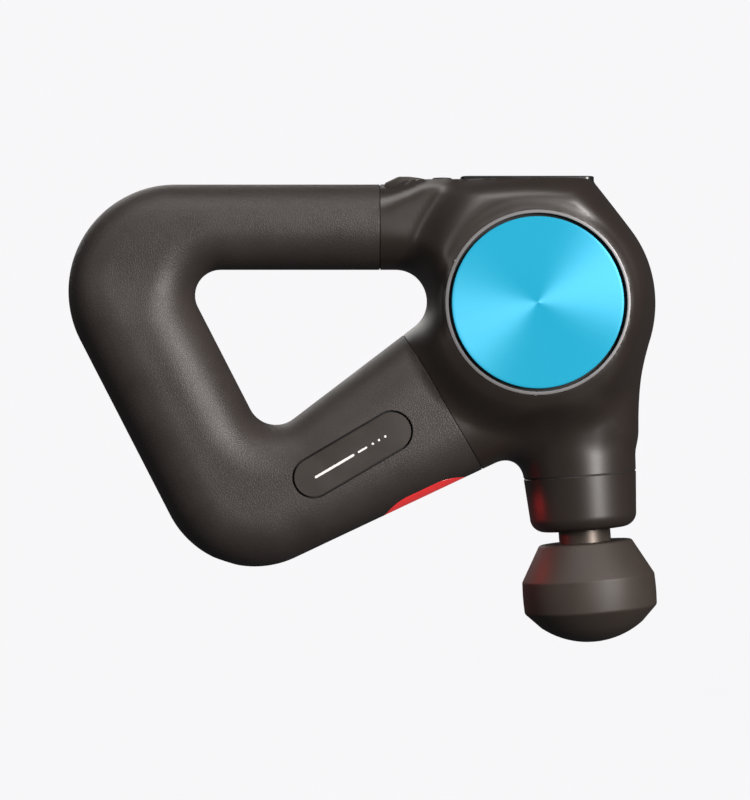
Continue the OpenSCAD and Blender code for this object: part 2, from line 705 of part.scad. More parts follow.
module screw(r, len, head_r, head_h) {
  cylinder(r = r, h = len);
  translate([0, 0, -head_h]) difference() {
    cylinder(r = head_r, h = head_h);
    translate([0, 0, -1]) cylinder(r = head_r * 0.5, h = 1 + head_h * 0.6, $fn = 6);
  }
}

module motor_screws() color("#c0bdb9") at_motor() for (i = [0:3]) rotate([0, 65 + 90 * i, 0])
  translate([screw_circle, 0, 0]) along_y(bracket_y) screw(1.3, 4, 2.2, 1.1);

module bracket_grommets() color("#262424") at_ears() along_y(bracket_y - 1.2) difference() {
  union() {
    ring(4.2, 1.6, 1.15);
    translate([0, 0, 1.15]) ring(2.55, 1.6, bracket_t + 0.1);
    translate([0, 0, bracket_t + 1.25]) ring(4.2, 1.6, 1.95);
  }
}

module bracket_screws() color("#c0bdb9") at_ears() along_y(bracket_y - 1.25) screw(1.2, 9, 3, 1.4);

module shell_screws() color("#c0bdb9") at_posts() along_y(recess_floor - 2)
  mirror([0, 0, 1]) screw(shell_screw_r - 0.05, 42, head_screw_r, 1.6);

// ---- electronics ----

module control_board() color("#1f5b3a") at_disc() along_y(board_y) difference() {
  cylinder(r = board_r, h = board_t);
  for (a = board_post_angles) rotate(-a) translate([board_post_circle, 0, -1]) cylinder(r = 1.3, h = 5);
}

module board_components() color("#2b2b2d") at_disc() along_y(board_y + board_t) {
  translate([-8, -7, 0]) cube([14, 14, 1.6]);
  translate([-17, -12, 0]) cube([5, 24, 4.5]);
  for (i = [0:2]) translate([10, -12 + 8 * i, 0]) cube([6, 5, 1.8]);
  for (i = [0:1]) translate([-4 + 11 * i, 16, 0]) cylinder(r = 3.6, h = 7.5);
  translate([-12, -20, 0]) cube([14, 5, 5.5]);
}

module board_screws() color("#c0bdb9") at_board_posts() along_y(board_y + board_t)
  mirror([0, 0, 1]) screw(0.85, 6, 1.9, 1.1);

module display_panel() color("#0d0e10") translate([panel_x, 0, deck_z - panel_sink])
  rounded_plate(panel_len, panel_w, panel_z - deck_z + panel_sink, 4);

module display_module() color("#33373a") translate([panel_x, 0, deck_z - panel_sink - 3.2])
  rounded_plate(panel_len - 14, panel_w - 9, 3.1, 2);

// ---- light window on the lower arm's underside ----

lens_t = 2.2;
module light_window() color("#d8282c") as_mesh() intersection() {
  difference() {
    loop_solid(0);
    loop_solid(lens_t);
  }
  lens_prism(0, 12);
}

light_u = 7;
module light_board() color("#1f5b3a") at_lens() translate([0, 0, light_u])
  stadium(lens_len - 6, lens_w - 8, 1.2);

led_cols = 5;
module light_leds() color("#f4dedb") at_lens() for (i = [0:led_cols - 1], j = [-1, 1])
  translate([(i - (led_cols - 1) / 2) * 5.2 - 1.6, j * 4 - 1.6, light_u - 1.3]) cube([3.2, 3.2, 1.25]);

// ---- charging jack ----

module charging_jack() color("#1b1a1a") at_port() translate([0, 0, -0.6]) difference() {
  translate([0, 0, -jack_len]) cylinder(r = jack_r, h = jack_len);
  translate([0, 0, -port_depth]) cylinder(r = port_r, h = 20);
  translate([0, 0, -port_depth - 9]) ring(2.8, 1, 20);
  translate([0, 0, -port_depth - 2]) cylinder(r = 1.6, h = 20);
}

// ---- battery ----

cell_pitch = cell_r + 0.25;
rear_mid = (gap_rear_edge + rear_edge) / 2;
rear_cell_c = rear_mid * dir(rear_a)
  + (edge_at(rear_a + 90, gap_low_c) + edge_at(rear_a + 90, gap_top_c)) / 2 * dir(rear_a + 90);
low_cell_a = (gap_slope + under_slope) / 2;
low_cell_c = lerp(lerp(low_rungs[arc_steps][0], low_rungs[arc_steps][1], 0.5),
                  lerp(seam_rung[0], seam_rung[1], 0.5), 0.5);
module at_rear_cells() translate([rear_cell_c.x, 0, rear_cell_c.y]) rotate([0, -rear_lean, 0]) children();
module at_low_cells() translate([low_cell_c.x, 0, low_cell_c.y]) rotate([0, 90 - low_cell_a, 0]) children();

module cell_pair() for (s = [-1, 1]) translate([s * cell_pitch, 0, -cell_len / 2]) {
  cylinder(r = cell_r, h = cell_len - 1.2);
  translate([0, 0, cell_len - 1.2]) cylinder(r = 3, h = 1.2);
}
module battery_cells_rear() color("#3f7d9c") at_rear_cells() cell_pair();
module battery_cells_lower() color("#3f7d9c") at_low_cells() cell_pair();

cradle_t = 3;
cradle_wall = 1.2;
module cradle() for (z = [-cell_len / 2 + 6, cell_len / 2 - 6 - cradle_t]) translate([0, 0, z])
  linear_extrude(cradle_t) difference() {
    union() {
      square([2 * cell_pitch, 2 * (cell_r + cradle_wall)], center = true);
      for (s = [-1, 1]) translate([s * cell_pitch, 0]) circle(cell_r + cradle_wall);
    }
    for (s = [-1, 1]) translate([s * cell_pitch, 0]) circle(cell_r + 0.02);
  }
module battery_cradle_rear() color("#232526") at_rear_cells() cradle();
module battery_cradle_lower() color("#232526") at_low_cells() cradle();

strap_t = 0.3;
cell_end = low_cell_c + (cell_len / 2 + strap_t) * dir(low_cell_a);
// Opening in the head's web that the battery leads pass through
module lead_gate() translate([cell_end.x, 0, cell_end.y]) rotate([0, 90 - low_cell_a, 0])
  cylinder(r = 3.6, h = 14, $fn = 24);
module cell_straps() color("#c7ccd0") {
  at_rear_cells() for (z = [-cell_len / 2 - strap_t, cell_len / 2]) translate([-cell_pitch - 3, -3.5, z])
    cube([2 * cell_pitch + 6, 7, strap_t]);
  at_low_cells() for (z = [-cell_len / 2 - strap_t, cell_len / 2]) translate([-cell_pitch - 3, -3.5, z])
    cube([2 * cell_pitch + 6, 7, strap_t]);
}

// ---- leads: round tubes swept along hand-chosen routes ----

lead_sides = 8;
function unit(v) = v / norm(v);
function lead_ring(pts, i, r) =
  let (n = len(pts), a = pts[max(0, i - 1)], b = pts[min(n - 1, i + 1)], d = unit(b - a),
       side = unit(cross(d, [0.2, 1, 0.1])), up = cross(d, side))
  [for (k = [0:lead_sides - 1]) let (w = 360 * k / lead_sides) pts[i] + r * (cos(w) * side + sin(w) * up)];
module lead(pts, r) {
  rows = [for (i = [0:len(pts) - 1]) lead_ring(pts, i, r)];
  n = len(pts);
  polyhedron(
    points = [for (row = rows) each row],
    faces = concat(
      [[for (k = [0:lead_sides - 1]) k]],
      [for (i = [0:n - 2], k = [0:lead_sides - 1])
        let (a = i * lead_sides + k, b = i * lead_sides + (k + 1) % lead_sides)
        each [[a, a + lead_sides, b + lead_sides], [a, b + lead_sides, b]]],
      [[for (k = [lead_sides - 1:-1:0]) (n - 1) * lead_sides + k]]));
}

lead_r = 0.9;
// From the cells' end, by steps that shrink to nothing where the leads reach the board
battery_steps = [[3, 0, 1.9], [7, -1, 4.4], [12, -5, 9], [17, -9, 16], [22, -12, 24], [26.5, -14, 31]];
battery_board_end = [-37.5, -14, 84];
battery_slip = battery_board_end - [cell_end.x, 0, cell_end.y] - battery_steps[5];
battery_route = [for (i = [0:5]) [cell_end.x, 0, cell_end.y] + battery_steps[i] + battery_slip * i / 5];
board_socket_y = board_y + board_t + 4.5;
module battery_leads() color("#a02822") for (s = [-1, 1]) {
  start = [cell_end.x, 0, cell_end.y];
  lead(concat([for (p = concat([start], battery_route)) p + [0, 1.2 * s, 0]],
              [[-36.2, -16.4, 86 + 2.4 * s], [-36.2, board_socket_y, 86 + 2.4 * s]]), lead_r);
}

motor_c = motor_u * dir(90 + shaft_lean);
motor_plug_y = board_y + board_t + 5.5;
module motor_leads() color("#2d5fa8") for (i = [0:2]) {
  x = -27.4 - 2.4 * i;
  tap = dir(125 + 6 * i);
  start = motor_c + can_r * tap;
  out = motor_c + (can_r + 2.5) * tap;
  lead([[start.x, can_front + 2.5, start.y], [out.x, can_front + 2.5, out.y], [x, 15, 113.5], [x, 11, 116.5],
        [x, 4, 117.5], [x, -4, 117.5], [x, -10, 116.5], [x, -13.5, 114.5], [x, -15.5, 112.6],
        [x, motor_plug_y, 112.6]], lead_r);
}

// ---- joystick ----

stick_pivot_z = deck_z - 9;
stem_r = 1.5;
module at_stick() translate([stick_x, 0, stick_pivot_z]) children();

stick_axle_r = 0.8;
base_half = 6.6;
base_wall = 1.2;
base_depth = 5;
gimbal_half = 3.4;
gimbal_hole = 2.3;
module stick_axle(r, half) rotate([0, 90, 0]) translate([0, 0, -half]) cylinder(r = r, h = 2 * half);

module joystick_base() color("#2b2b2d") at_stick() difference() {
  translate([-base_half, -base_half, -base_depth])
    cube([2 * base_half, 2 * base_half, base_depth + deck_z - head_wall - stick_pivot_z]);
  translate([base_wall - base_half, base_wall - base_half, -base_depth + base_wall])
    cube([2 * (base_half - base_wall), 2 * (base_half - base_wall), 40]);
  rotate(90) stick_axle(stick_axle_r + run, 20);
}
module joystick_gimbal() color("#8d8f91") at_stick() difference() {
  union() {
    translate([-gimbal_half, -gimbal_half, -1]) cube([2 * gimbal_half, 2 * gimbal_half, 2]);
    rotate(90) stick_axle(stick_axle_r, base_half);
  }
  translate([-gimbal_hole, -gimbal_hole, -2]) cube([2 * gimbal_hole, 2 * gimbal_hole, 4]);
  stick_axle(stick_axle_r + run, 20);
}
module joystick_stem() color("#b9b7b4") at_stick() {
  translate([0, 0, -1]) cylinder(r = stem_r, h = 7.6);
  stick_axle(stick_axle_r, gimbal_half);
}
module joystick_cap() color("#2a2827") at_stick() difference() {
  translate([0, 0, 6.8 - 2]) cylinder(r = stick_r, h = panel_z - stick_pivot_z - 4.8);
  translate([0, 0, 2]) cylinder(r = stem_r + run, h = 6.6 - 2 + stick_press + 0.2);
}

// ---- attachment ----

core_r = spigot_r + 4.5;
core_depth = spigot_len + 3;
pad_waist = 15.2;
pad_belt = 13.3;
pad_low = pad_waist + pad_belt;
dome_h = pad_h - pad_low;
dome_r = (pow(pad_r - 0.3, 2) + pow(dome_h, 2)) / (2 * dome_h);

module attachment_pad() color("#4a4542") on_shaft(-neck) difference() {
  union() {
    rotate_extrude($fn = 96) polygon([
      [0, 0], [pad_top_r, 0], [pad_r - 0.3, -pad_waist], [pad_r, -pad_waist - pad_belt / 2],
      [pad_r - 0.3, -pad_low], [0, -pad_low]]);
    intersection() {
      translate([0, 0, -pad_h + dome_r]) sphere(dome_r, $fn = 96);
      translate([0, 0, -pad_h - 1]) cylinder(r = pad_r, h = dome_h + 1);
    }
  }
  translate([0, 0, -core_depth - 0.02]) cylinder(r = core_r + 0.02, h = 60);
  translate([0, 0, -2.02]) cylinder(r = core_r + 2.52, h = 60);
}

module attachment_core() color("#2c2a29") on_shaft(-neck) difference() {
  union() {
    translate([0, 0, -core_depth]) cylinder(r = core_r, h = core_depth);
    translate([0, 0, -2]) cylinder(r = core_r + 2.5, h = 2);
  }
  translate([0, 0, -spigot_len - 0.5]) cylinder(r = spigot_r + run, h = 60);
}

// ---- nodes ----

head_shell(-1);  // head_shell_left
head_shell(1);  // head_shell_right
handle_frame(-1);  // handle_frame_left
handle_frame(1);  // handle_frame_right
grip_sleeve(-1);  // grip_sleeve_left
grip_sleeve(1);  // grip_sleeve_right
bezel_ring(-1);  // bezel_ring_left
bezel_ring(1);  // bezel_ring_right
side_disc(-1);  // side_disc_left
side_disc(1);  // side_disc_right
side_plaque(-1);  // side_plaque_left
side_plaque(1);  // side_plaque_right
nose_cap();
nose_gasket();
mouth_seal();
display_panel();
display_module();
light_window();
light_board();
light_leds();
charging_jack();
guide_housing();
guide_bush(guide_low);  // guide_bush_lower
guide_bush(guide_high - bush_len);  // guide_bush_upper
motor_bracket();
motor_can();
stator_core();
stator_coils();
motor_bearing(bracket_y, front_bearing_w);  // motor_bearing_front
motor_bearing(can_back - 1.2 - bearing_w, bearing_w);  // motor_bearing_rear
motor_screws();
bracket_grommets();
bracket_screws();
shell_screws();
control_board();
board_components();
board_screws();
battery_cells_rear();
battery_cells_lower();
battery_cradle_rear();
battery_cradle_lower();
cell_straps();
battery_leads();
motor_leads();
rotor_core();
rotor_magnets();
motor_shaft();
eccentric();
output_shaft();
wrist_pin();
detent_ring();
connecting_rod();
rod_bearing();
crank_pin();
attachment_core();
attachment_pad();
joystick_base();
joystick_gimbal();
joystick_stem();
joystick_cap();
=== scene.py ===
"""Looks of the massage gun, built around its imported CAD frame. Shape code works in millimetres."""

import json
import math

import bmesh
import bpy
import numpy as np
from mathutils import Matrix, Vector


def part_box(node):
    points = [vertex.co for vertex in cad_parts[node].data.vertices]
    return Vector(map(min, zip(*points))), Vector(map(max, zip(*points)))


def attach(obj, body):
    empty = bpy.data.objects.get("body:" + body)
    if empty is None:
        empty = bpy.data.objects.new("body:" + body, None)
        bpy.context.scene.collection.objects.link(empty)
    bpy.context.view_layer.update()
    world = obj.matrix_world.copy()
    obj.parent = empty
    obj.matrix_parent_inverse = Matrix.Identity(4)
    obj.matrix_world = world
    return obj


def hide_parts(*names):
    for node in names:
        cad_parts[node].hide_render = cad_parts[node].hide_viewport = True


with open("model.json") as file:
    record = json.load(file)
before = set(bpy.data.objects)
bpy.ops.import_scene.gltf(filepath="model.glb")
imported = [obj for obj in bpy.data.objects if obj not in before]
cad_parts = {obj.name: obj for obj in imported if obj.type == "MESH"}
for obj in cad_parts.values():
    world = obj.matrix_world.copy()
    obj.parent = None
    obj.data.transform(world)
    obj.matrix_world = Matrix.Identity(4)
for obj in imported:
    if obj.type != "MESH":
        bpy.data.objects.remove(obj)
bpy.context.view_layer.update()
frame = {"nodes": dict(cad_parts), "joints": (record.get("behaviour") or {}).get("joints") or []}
scene = bpy.context.scene
MM = 0.001


# ---- sizes, in millimetres ----


def box_mm(node):
    low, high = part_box(node)
    return low / MM, high / MM


def axis_of(joint):
    return next(Vector(j["axis"]) for j in frame["joints"] if j["name"] == joint)


DISC_LOW, DISC_HIGH = box_mm("side_disc_left")
RING_LOW, RING_HIGH = box_mm("bezel_ring_left")
DISC_X, DISC_Z = (DISC_LOW.x + DISC_HIGH.x) / 2, (DISC_LOW.z + DISC_HIGH.z) / 2
DISC_R = (DISC_HIGH.x - DISC_LOW.x) / 2
RING_R = (RING_HIGH.x - RING_LOW.x) / 2
RING_FACE = -RING_LOW.y
DISC_FACE = -DISC_LOW.y
SEAT_FLOOR = -RING_HIGH.y
DISC_GAP = 1.3  # between the disc and the ring
DRUM_RIM = 1.3  # the drum's radius past the ring's
RING_PROUD = 0.7  # the ring's face above the drum's
DRUM_R = RING_R + DRUM_RIM
DRUM_HALF = RING_FACE - RING_PROUD
DRUM_PROUD = 0.8  # the drum's face above the head's
DRUM_ROUND = 2.5
DRUM_BLEND = 2.0

OUT = axis_of("shaft_stroke")
LEAN = math.atan2(OUT.x, -OUT.z)
# The nose is a cone round the shaft's axis. U is the height along that axis.
NOSE_R = 22.6
NOSE_TAPER = 0.054
NOSE_LOW_U, NOSE_HIGH_U = 15, 62
NOSE_BLEND_FRONT, NOSE_BLEND_REAR = 4.0, 11.0
SPLIT_U = 23.6
SPLIT_GAP = 0.5

DECK_Z = 147.4
CLEAR_Z = 160  # above everything, where the tools that cut from above end
PANEL_LOW, PANEL_HIGH = box_mm("display_panel")
PANEL_X = (PANEL_LOW.x + PANEL_HIGH.x) / 2
PANEL_LENGTH, PANEL_WIDTH = PANEL_HIGH.x - PANEL_LOW.x, PANEL_HIGH.y - PANEL_LOW.y
PANEL_CORNER, PANEL_POCKET_CORNER = 4, 4.2
PANEL_POCKET_EXTRA = 0.5
STICK_LOW, STICK_HIGH = box_mm("joystick_cap")
STICK_X = (STICK_LOW.x + STICK_HIGH.x) / 2
STICK_R = (STICK_HIGH.x - STICK_LOW.x) / 2
STICK_DISH_R, STICK_DISH_DEPTH = STICK_R + 2.4, 0.9
STICK_WELL_R, STICK_WELL_DEPTH = STICK_R + 1.1, 20

GRIP_T = 2.4
HEAD_T = 3.0
HANDLE_CORE_T = 2.2
GASKET_DEPTH, GASKET_T = 0.45, 1.4
SEAM_GAP = 0.4
TOP_SEAM_X = -86.8
LOW_SEAM_POINT = Vector((-76.2, 0, 81.2))
LOW_SEAM_ANGLE = 30.5
SEAM_SWITCH_Z = 97.0  # above it the top seam parts head and grip, below it the low seam

PLAQUE = {"x": -98.2, "z": 32.1, "slope": 30.4, "length": 53.9, "height": 15.9, "gap": 0.9}
LENS = {"x": -67.9, "z": 14.6, "slope": 25.9, "length": 38.0, "width": 25.0, "corner": 12.0}
PORT = {"x": -152.46, "z": -13.96, "angle": 252.0, "radius": 6.9}

# The handle loop's outer edge and the finger gap's edge: arcs joined by straight lines,
# each (centre x, centre z, radius, start angle, end angle)
OUTER_ARCS = [
    (-173.64, 100.9, 45.4, 90.0, 207.2),
    (-139.98, 24.47, 40.4, 207.2, 295.9),
    (-18.0, 44.0, 6.0, 292.0, 300.0),
    (12.2, 42.1, 10.0, 290.0, 360.0),
    (155.2, 42.1, 133.0, 180.0, 163.3),
    (DISC_X, DISC_Z, 51.7, -16.7, 36.9),
    (-2.57, 147.4, 5.0, 36.9, 90.0),
    (-61.8, 125.2, 27.2, 90.0, 117.4),
    (-86.8, 173.5, 27.2, 297.4, 270.0),
]
GAP_ARCS = [
    (-80.2, 96.7, 13.4, 90.0, -52.7),
    (-131.04, 56.4, 12.15, 307.3, 207.2),
    (-154.6, 99.3, 10.8, 207.2, 90.0),
]


# ---- body surface: a smooth solid given by a distance-like function ----


def smooth(t):
    t = np.clip(t, 0.0, 1.0)
    return t * t * (3 - 2 * t)


def ramp(value, start, end):
    """Goes smoothly from 0 at start to 1 at end."""
    return smooth((value - start) / (end - start))


def mix(a, b, share):
    return a * (1 - share) + b * share


def turn(angle):
    return math.cos(math.radians(angle)), math.sin(math.radians(angle))


def on_circle(radius, angle, x=0.0, y=0.0):
    """The point at an angle, in degrees, on a circle round (x, y)."""
    c, s = turn(angle)
    return x + radius * c, y + radius * s


def outline_points(arcs, step=1.0):
    points = []
    for x, z, radius, a0, a1 in arcs:
        count = max(2, int(abs(a1 - a0) / step) + 1)
        for a in np.linspace(a0, a1, count):
            points.append(on_circle(radius, a, x, z))
    return np.array(points)


def signed_distance(arcs, x, z):
    """Distance to a closed outline, negative inside, for arrays x and z."""
    points = outline_points(arcs)
    following = np.roll(points, -1, axis=0)
    best = np.full(x.shape, 1e9)
    inside = np.zeros(x.shape, bool)
    for (ax, az), (bx, bz) in zip(points, following):
        ex, ez = bx - ax, bz - az
        length2 = ex * ex + ez * ez
        if length2 < 1e-9:
            continue
        t = np.clip(((x - ax) * ex + (z - az) * ez) / length2, 0, 1)
        best = np.minimum(best, (x - ax - t * ex) ** 2 + (z - az - t * ez) ** 2)
        if az != bz:
            crosses = (az > z) != (bz > z)
            inside ^= crosses & (x < ax + (z - az) / (bz - az) * ex)
    best = np.sqrt(best)
    return np.where(inside, -best, best)


class Lattice:
    """A field over the side view, sampled once and read back by interpolation."""

    def __init__(self, arcs, low=(-230, -30), high=(60, 170), step=0.5):
        self.low, self.step = low, step
        xs = np.arange(low[0], high[0] + step, step)
        zs = np.arange(low[1], high[1] + step, step)
        gx, gz = np.meshgrid(xs, zs, indexing="ij")
        self.values = signed_distance(arcs, gx, gz)

    def __call__(self, x, z):
        u = np.clip((x - self.low[0]) / self.step, 0, self.values.shape[0] - 1.001)
        v = np.clip((z - self.low[1]) / self.step, 0, self.values.shape[1] - 1.001)
        i, j = u.astype(int), v.astype(int)
        u, v = u - i, v - j
        f = self.values
        near = f[i, j] * (1 - v) + f[i, j + 1] * v
        far = f[i + 1, j] * (1 - v) + f[i + 1, j + 1] * v
        return near * (1 - u) + far * u


OUTER = Lattice(OUTER_ARCS)
GAP = Lattice(GAP_ARCS)
ROUND_POWER = 2.1  # 2 gives an ellipse, more a squarer corner

# Half widths across the side view, and how far in the edges and the sides are rounded
BAR_HALF, ARM_HALF = 20.0, 23.0
BAR_ROUND, ARM_ROUND, HEAD_ROUND = 17.5, 22.5, 15.5
HEAD_SIDE_ROUND = 27.0
CROWN_SHARPENING = 0.36
# How far the head reaches from the disc's centre and fades into the handle, and what its upper part adds
HEAD_REACH, HEAD_REACH_ABOVE = 58, 16
HEAD_FADE, HEAD_FADE_ABOVE = 18.5, 13.5
# Stretches over which one shape goes over into another, each from start to end
ARM_Z = (110, 85)
ABOVE_X, ABOVE_Z = (-84, -28), (80, 130)
CROWN_REAR_X, CROWN_FRONT_X, CROWN_Z = (-92, -76), (-30, -70), (112, 146)
NOSE_BLEND_ACROSS = (19, 5)


def round_union(a, b, r):
    """Joins two solids with a fillet of radius r."""
    return np.maximum(r, np.minimum(a, b)) - np.hypot(np.maximum(r - a, 0), np.maximum(r - b, 0))


def rounded_slab(edge, y, half, edge_round, side_round):
    """A slab of half width `half` whose edge, at edge = 0, is rounded off elliptically."""
    q = np.maximum(edge + edge_round, 0) / edge_round
    s = np.maximum(np.abs(y) - (half - side_round), 0) / side_round
    g = (q**ROUND_POWER + s**ROUND_POWER) ** (1 / ROUND_POWER) - 1
    return g * np.minimum(edge_round, side_round)


def body(x, y, z):
    """Negative inside the whole body, head and handle in one."""
    edge = np.maximum(OUTER(x, z), -GAP(x, z))
    reach = np.hypot(x - DISC_X, z - DISC_Z)
    arm = ramp(z, *ARM_Z)
    above = ramp(x, *ABOVE_X) * ramp(z, *ABOVE_Z)
    head = smooth((HEAD_REACH + HEAD_REACH_ABOVE * above - reach) / (HEAD_FADE + HEAD_FADE_ABOVE * above))
    crown = ramp(x, *CROWN_REAR_X) * ramp(x, *CROWN_FRONT_X) * ramp(z, *CROWN_Z)
    half = mix(BAR_HALF + (ARM_HALF - BAR_HALF) * arm, DRUM_HALF - DRUM_PROUD, head)
    edge_round = mix(BAR_ROUND + (ARM_ROUND - BAR_ROUND) * arm, HEAD_ROUND, head)
    edge_round = edge_round * (1 - CROWN_SHARPENING * crown)
    side_round = mix(half, HEAD_SIDE_ROUND, head)
    loop = rounded_slab(edge, y, half, edge_round, side_round)
    drum = rounded_slab(reach - DRUM_R, y, DRUM_HALF, DRUM_ROUND, DRUM_ROUND)
    loop = round_union(loop, drum, DRUM_BLEND)
    c, s = math.cos(LEAN), math.sin(LEAN)
    up = -s * x + c * z
    across = c * x + s * z
    cone = np.hypot(across, y) - (NOSE_R + NOSE_TAPER * up)
    nose = np.maximum(cone, np.maximum(up - NOSE_HIGH_U, NOSE_LOW_U - up))
    blend = NOSE_BLEND_FRONT + (NOSE_BLEND_REAR - NOSE_BLEND_FRONT) * ramp(across, *NOSE_BLEND_ACROSS)
    return round_union(loop, nose, blend)


CORNERS = np.array([(i, j, k) for i in (0, 1) for j in (0, 1) for k in (0, 1)])
EDGES = [(a, b) for a in CORNERS for b in CORNERS if (b - a).sum() == 1 and (b - a).min() == 0]
EVENING_PASSES, EVENING = 4, 0.6


def gradient(function, p, step=0.05):
    """The slope of function at the points p, by central differences."""
    columns = []
    for axis in range(3):
        d = np.zeros(3)
        d[axis] = step
        ahead, behind = p + d, p - d
        columns.append((function(*ahead.T) - function(*behind.T)) / (2 * step))
    return np.stack(columns, axis=1)


def surface_net(function, low, high, cell):
    """Even quads on the surface where function is zero, as points and faces."""
    axes = [np.arange(low[n], high[n] + cell, cell) for n in range(3)]
    grid = function(axes[0][:, None, None], axes[1][None, :, None], axes[2][None, None, :])
    inside = grid < 0
    n = np.array(grid.shape) - 1
    count = sum(inside[i : i + n[0], j : j + n[1], k : k + n[2]].astype(int) for i, j, k in CORNERS)
    cells = np.argwhere((count > 0) & (count < 8))
    number = -np.ones(n, int)
    number[tuple(cells.T)] = np.arange(len(cells))
    total, hits = np.zeros((len(cells), 3)), np.zeros(len(cells))
    for a, b in EDGES:
        va, vb = grid[tuple((cells + a).T)], grid[tuple((cells + b).T)]
        cross = (va < 0) != (vb < 0)
        t = np.where(cross, va / np.where(cross, va - vb, 1), 0)
        total[cross] += (cells + a + t[:, None] * (b - a))[cross]
        hits += cross
    points = np.array(low) + cell * total / hits[:, None]
    faces = []
    for axis in range(3):
        u, v = (axis + 1) % 3, (axis + 2) % 3
        size = list(grid.shape)
        size[axis] -= 1
        here = [slice(0, m) for m in size]
        ahead = list(here)
        ahead[axis] = slice(1, grid.shape[axis])
        change = inside[tuple(here)] != inside[tuple(ahead)]
        edges = np.argwhere(change)
        edges = edges[(edges[:, u] > 0) & (edges[:, v] > 0) & (edges[:, u] < n[u]) & (edges[:, v] < n[v])]
        eu, ev = np.eye(3, dtype=int)[u], np.eye(3, dtype=int)[v]
        ring = [edges - eu - ev, edges - ev, edges, edges - eu]
        quads = np.stack([number[tuple(r.T)] for r in ring], axis=1)
        outward = inside[tuple(edges.T)]
        quads[~outward] = quads[~outward][:, ::-1]
        faces.append(quads)
    faces = np.concatenate(faces)
    faces = faces[(faces >= 0).all(axis=1)]
    pairs = np.concatenate([faces[:, [0, 1]], faces[:, [1, 2]], faces[:, [2, 3]], faces[:, [3, 0]]])
    for _ in range(EVENING_PASSES):
        gathered, weight = np.zeros_like(points), np.zeros(len(points))
        for a, b in ((0, 1), (1, 0)):
            np.add.at(gathered, pairs[:, a], points[pairs[:, b]])
            np.add.at(weight, pairs[:, a], 1)
        points = (1 - EVENING) * points + EVENING * gathered / np.maximum(weight, 1)[:, None]
        for _ in range(2):
            slope = gradient(function, points)
            points = points - function(*points.T)[:, None] * slope / (slope**2).sum(axis=1)[:, None]
    return points, faces


# ---- mesh helpers ----


def link(name, mesh):
    piece = bpy.data.objects.new(name, mesh)
    scene.collection.objects.link(piece)
    return piece


def from_bmesh(name, bm):
    mesh = bpy.data.meshes.new(name)
    bm.to_mesh(mesh)
    bm.free()
    return link(name, mesh)


def scaled(bm):
    bmesh.ops.scale(bm, vec=(MM, MM, MM), verts=bm.verts)
    return bm


def apply_modifiers(piece):
    bpy.context.view_layer.update()
    graph = bpy.context.evaluated_depsgraph_get()
    mesh = bpy.data.meshes.new_from_object(piece.evaluated_get(graph))
    piece.modifiers.clear()
    piece.data = mesh
    return piece


def modify(piece, kind, **settings):
    modifier = piece.modifiers.new(kind.lower(), kind)
    for key, value in settings.items():
        setattr(modifier, key, value)
    return apply_modifiers(piece)


def combine(piece, cutter, operation):
    return modify(piece, "BOOLEAN", object=cutter, operation=operation, solver="EXACT")


def discard(*pieces):
    for p in pieces:
        bpy.data.objects.remove(p)


def soften(piece, width, angle, segments=2):
    """Rounds the edges sharper than angle."""
    return modify(piece, "BEVEL", width=width * MM, segments=segments, limit_method="ANGLE",
                  angle_limit=math.radians(angle), use_clamp_overlap=True)


def shade(piece, angle):
    piece.data.shade_smooth()
    piece.data.set_sharp_from_angle(angle=math.radians(angle))


def mirrored(piece, name):
    bm = bmesh.new()
    bm.from_mesh(piece.data)
    bmesh.ops.scale(bm, vec=(1, -1, 1), verts=bm.verts)
    bmesh.ops.reverse_faces(bm, faces=bm.faces)
    return from_bmesh(name, bm)


def prism(outline, low, high):
    """A closed prism: outline is (x, y) points, run along Z."""
    bm = bmesh.new()
    bottom = [bm.verts.new((x, y, low)) for x, y in outline]
    top = [bm.verts.new((x, y, high)) for x, y in outline]
    bm.faces.new(bottom[::-1])
    bm.faces.new(top)
    for i in range(len(outline)):
        j = (i + 1) % len(outline)
        bm.faces.new((bottom[i], bottom[j], top[j], top[i]))
    return bm


def stadium(length, height, segments=24):
    r, half = height / 2, (length - height) / 2
    right = [on_circle(r, a, half) for a in np.linspace(-90, 90, segments + 1)]
    left = [on_circle(r, a, -half) for a in np.linspace(90, 270, segments + 1)]
    return right + left


def rounded_rectangle(length, width, radius, segments=8):
    points = []
    for sx, sy, start in ((1, 1, 0), (-1, 1, 90), (-1, -1, 180), (1, -1, 270)):
        for a in np.linspace(start, start + 90, segments + 1):
            points.append(on_circle(radius, a, sx * (length / 2 - radius), sy * (width / 2 - radius)))
    return points


def placed(bm, matrix):
    bmesh.ops.transform(bm, matrix=matrix, verts=bm.verts)
    return bm


def side_view_matrix(x, z, slope):
    """Local X along the slope, local Y up the side, local Z out to the left (-Y)."""
    return (Matrix.Translation((x, 0, z)) @ Matrix.Rotation(-math.radians(slope), 4, "Y")
            @ Matrix.Rotation(math.radians(90), 4, "X"))


def lathe(name, profile, matrix, segments):
    """Turns (radius, height) points round local Z into a closed piece.

    No two neighbouring points may both lie on the axis.
    """
    bm = bmesh.new()
    rings = []
    for r, h in profile:
        if r < 1e-6:
            rings.append([bm.verts.new((0, 0, h))])
        else:
            angles = np.linspace(0, 360, segments, endpoint=False)
            rings.append([bm.verts.new((*on_circle(r, a), h)) for a in angles])
    closed = profile[0][0] > 1e-6 and profile[-1][0] > 1e-6
    pairs = list(zip(rings, rings[1:])) + ([(rings[-1], rings[0])] if closed else [])
    for a, b in pairs:
        for i in range(segments):
            j = (i + 1) % segments
            if len(a) == 1:
                bm.faces.new((a[0], b[j], b[i]))
            elif len(b) == 1:
                bm.faces.new((a[i], a[j], b[0]))
            else:
                bm.faces.new((a[i], a[j], b[j], b[i]))
    bmesh.ops.recalc_face_normals(bm, faces=bm.faces)
    return from_bmesh(name, scaled(placed(bm, matrix)))


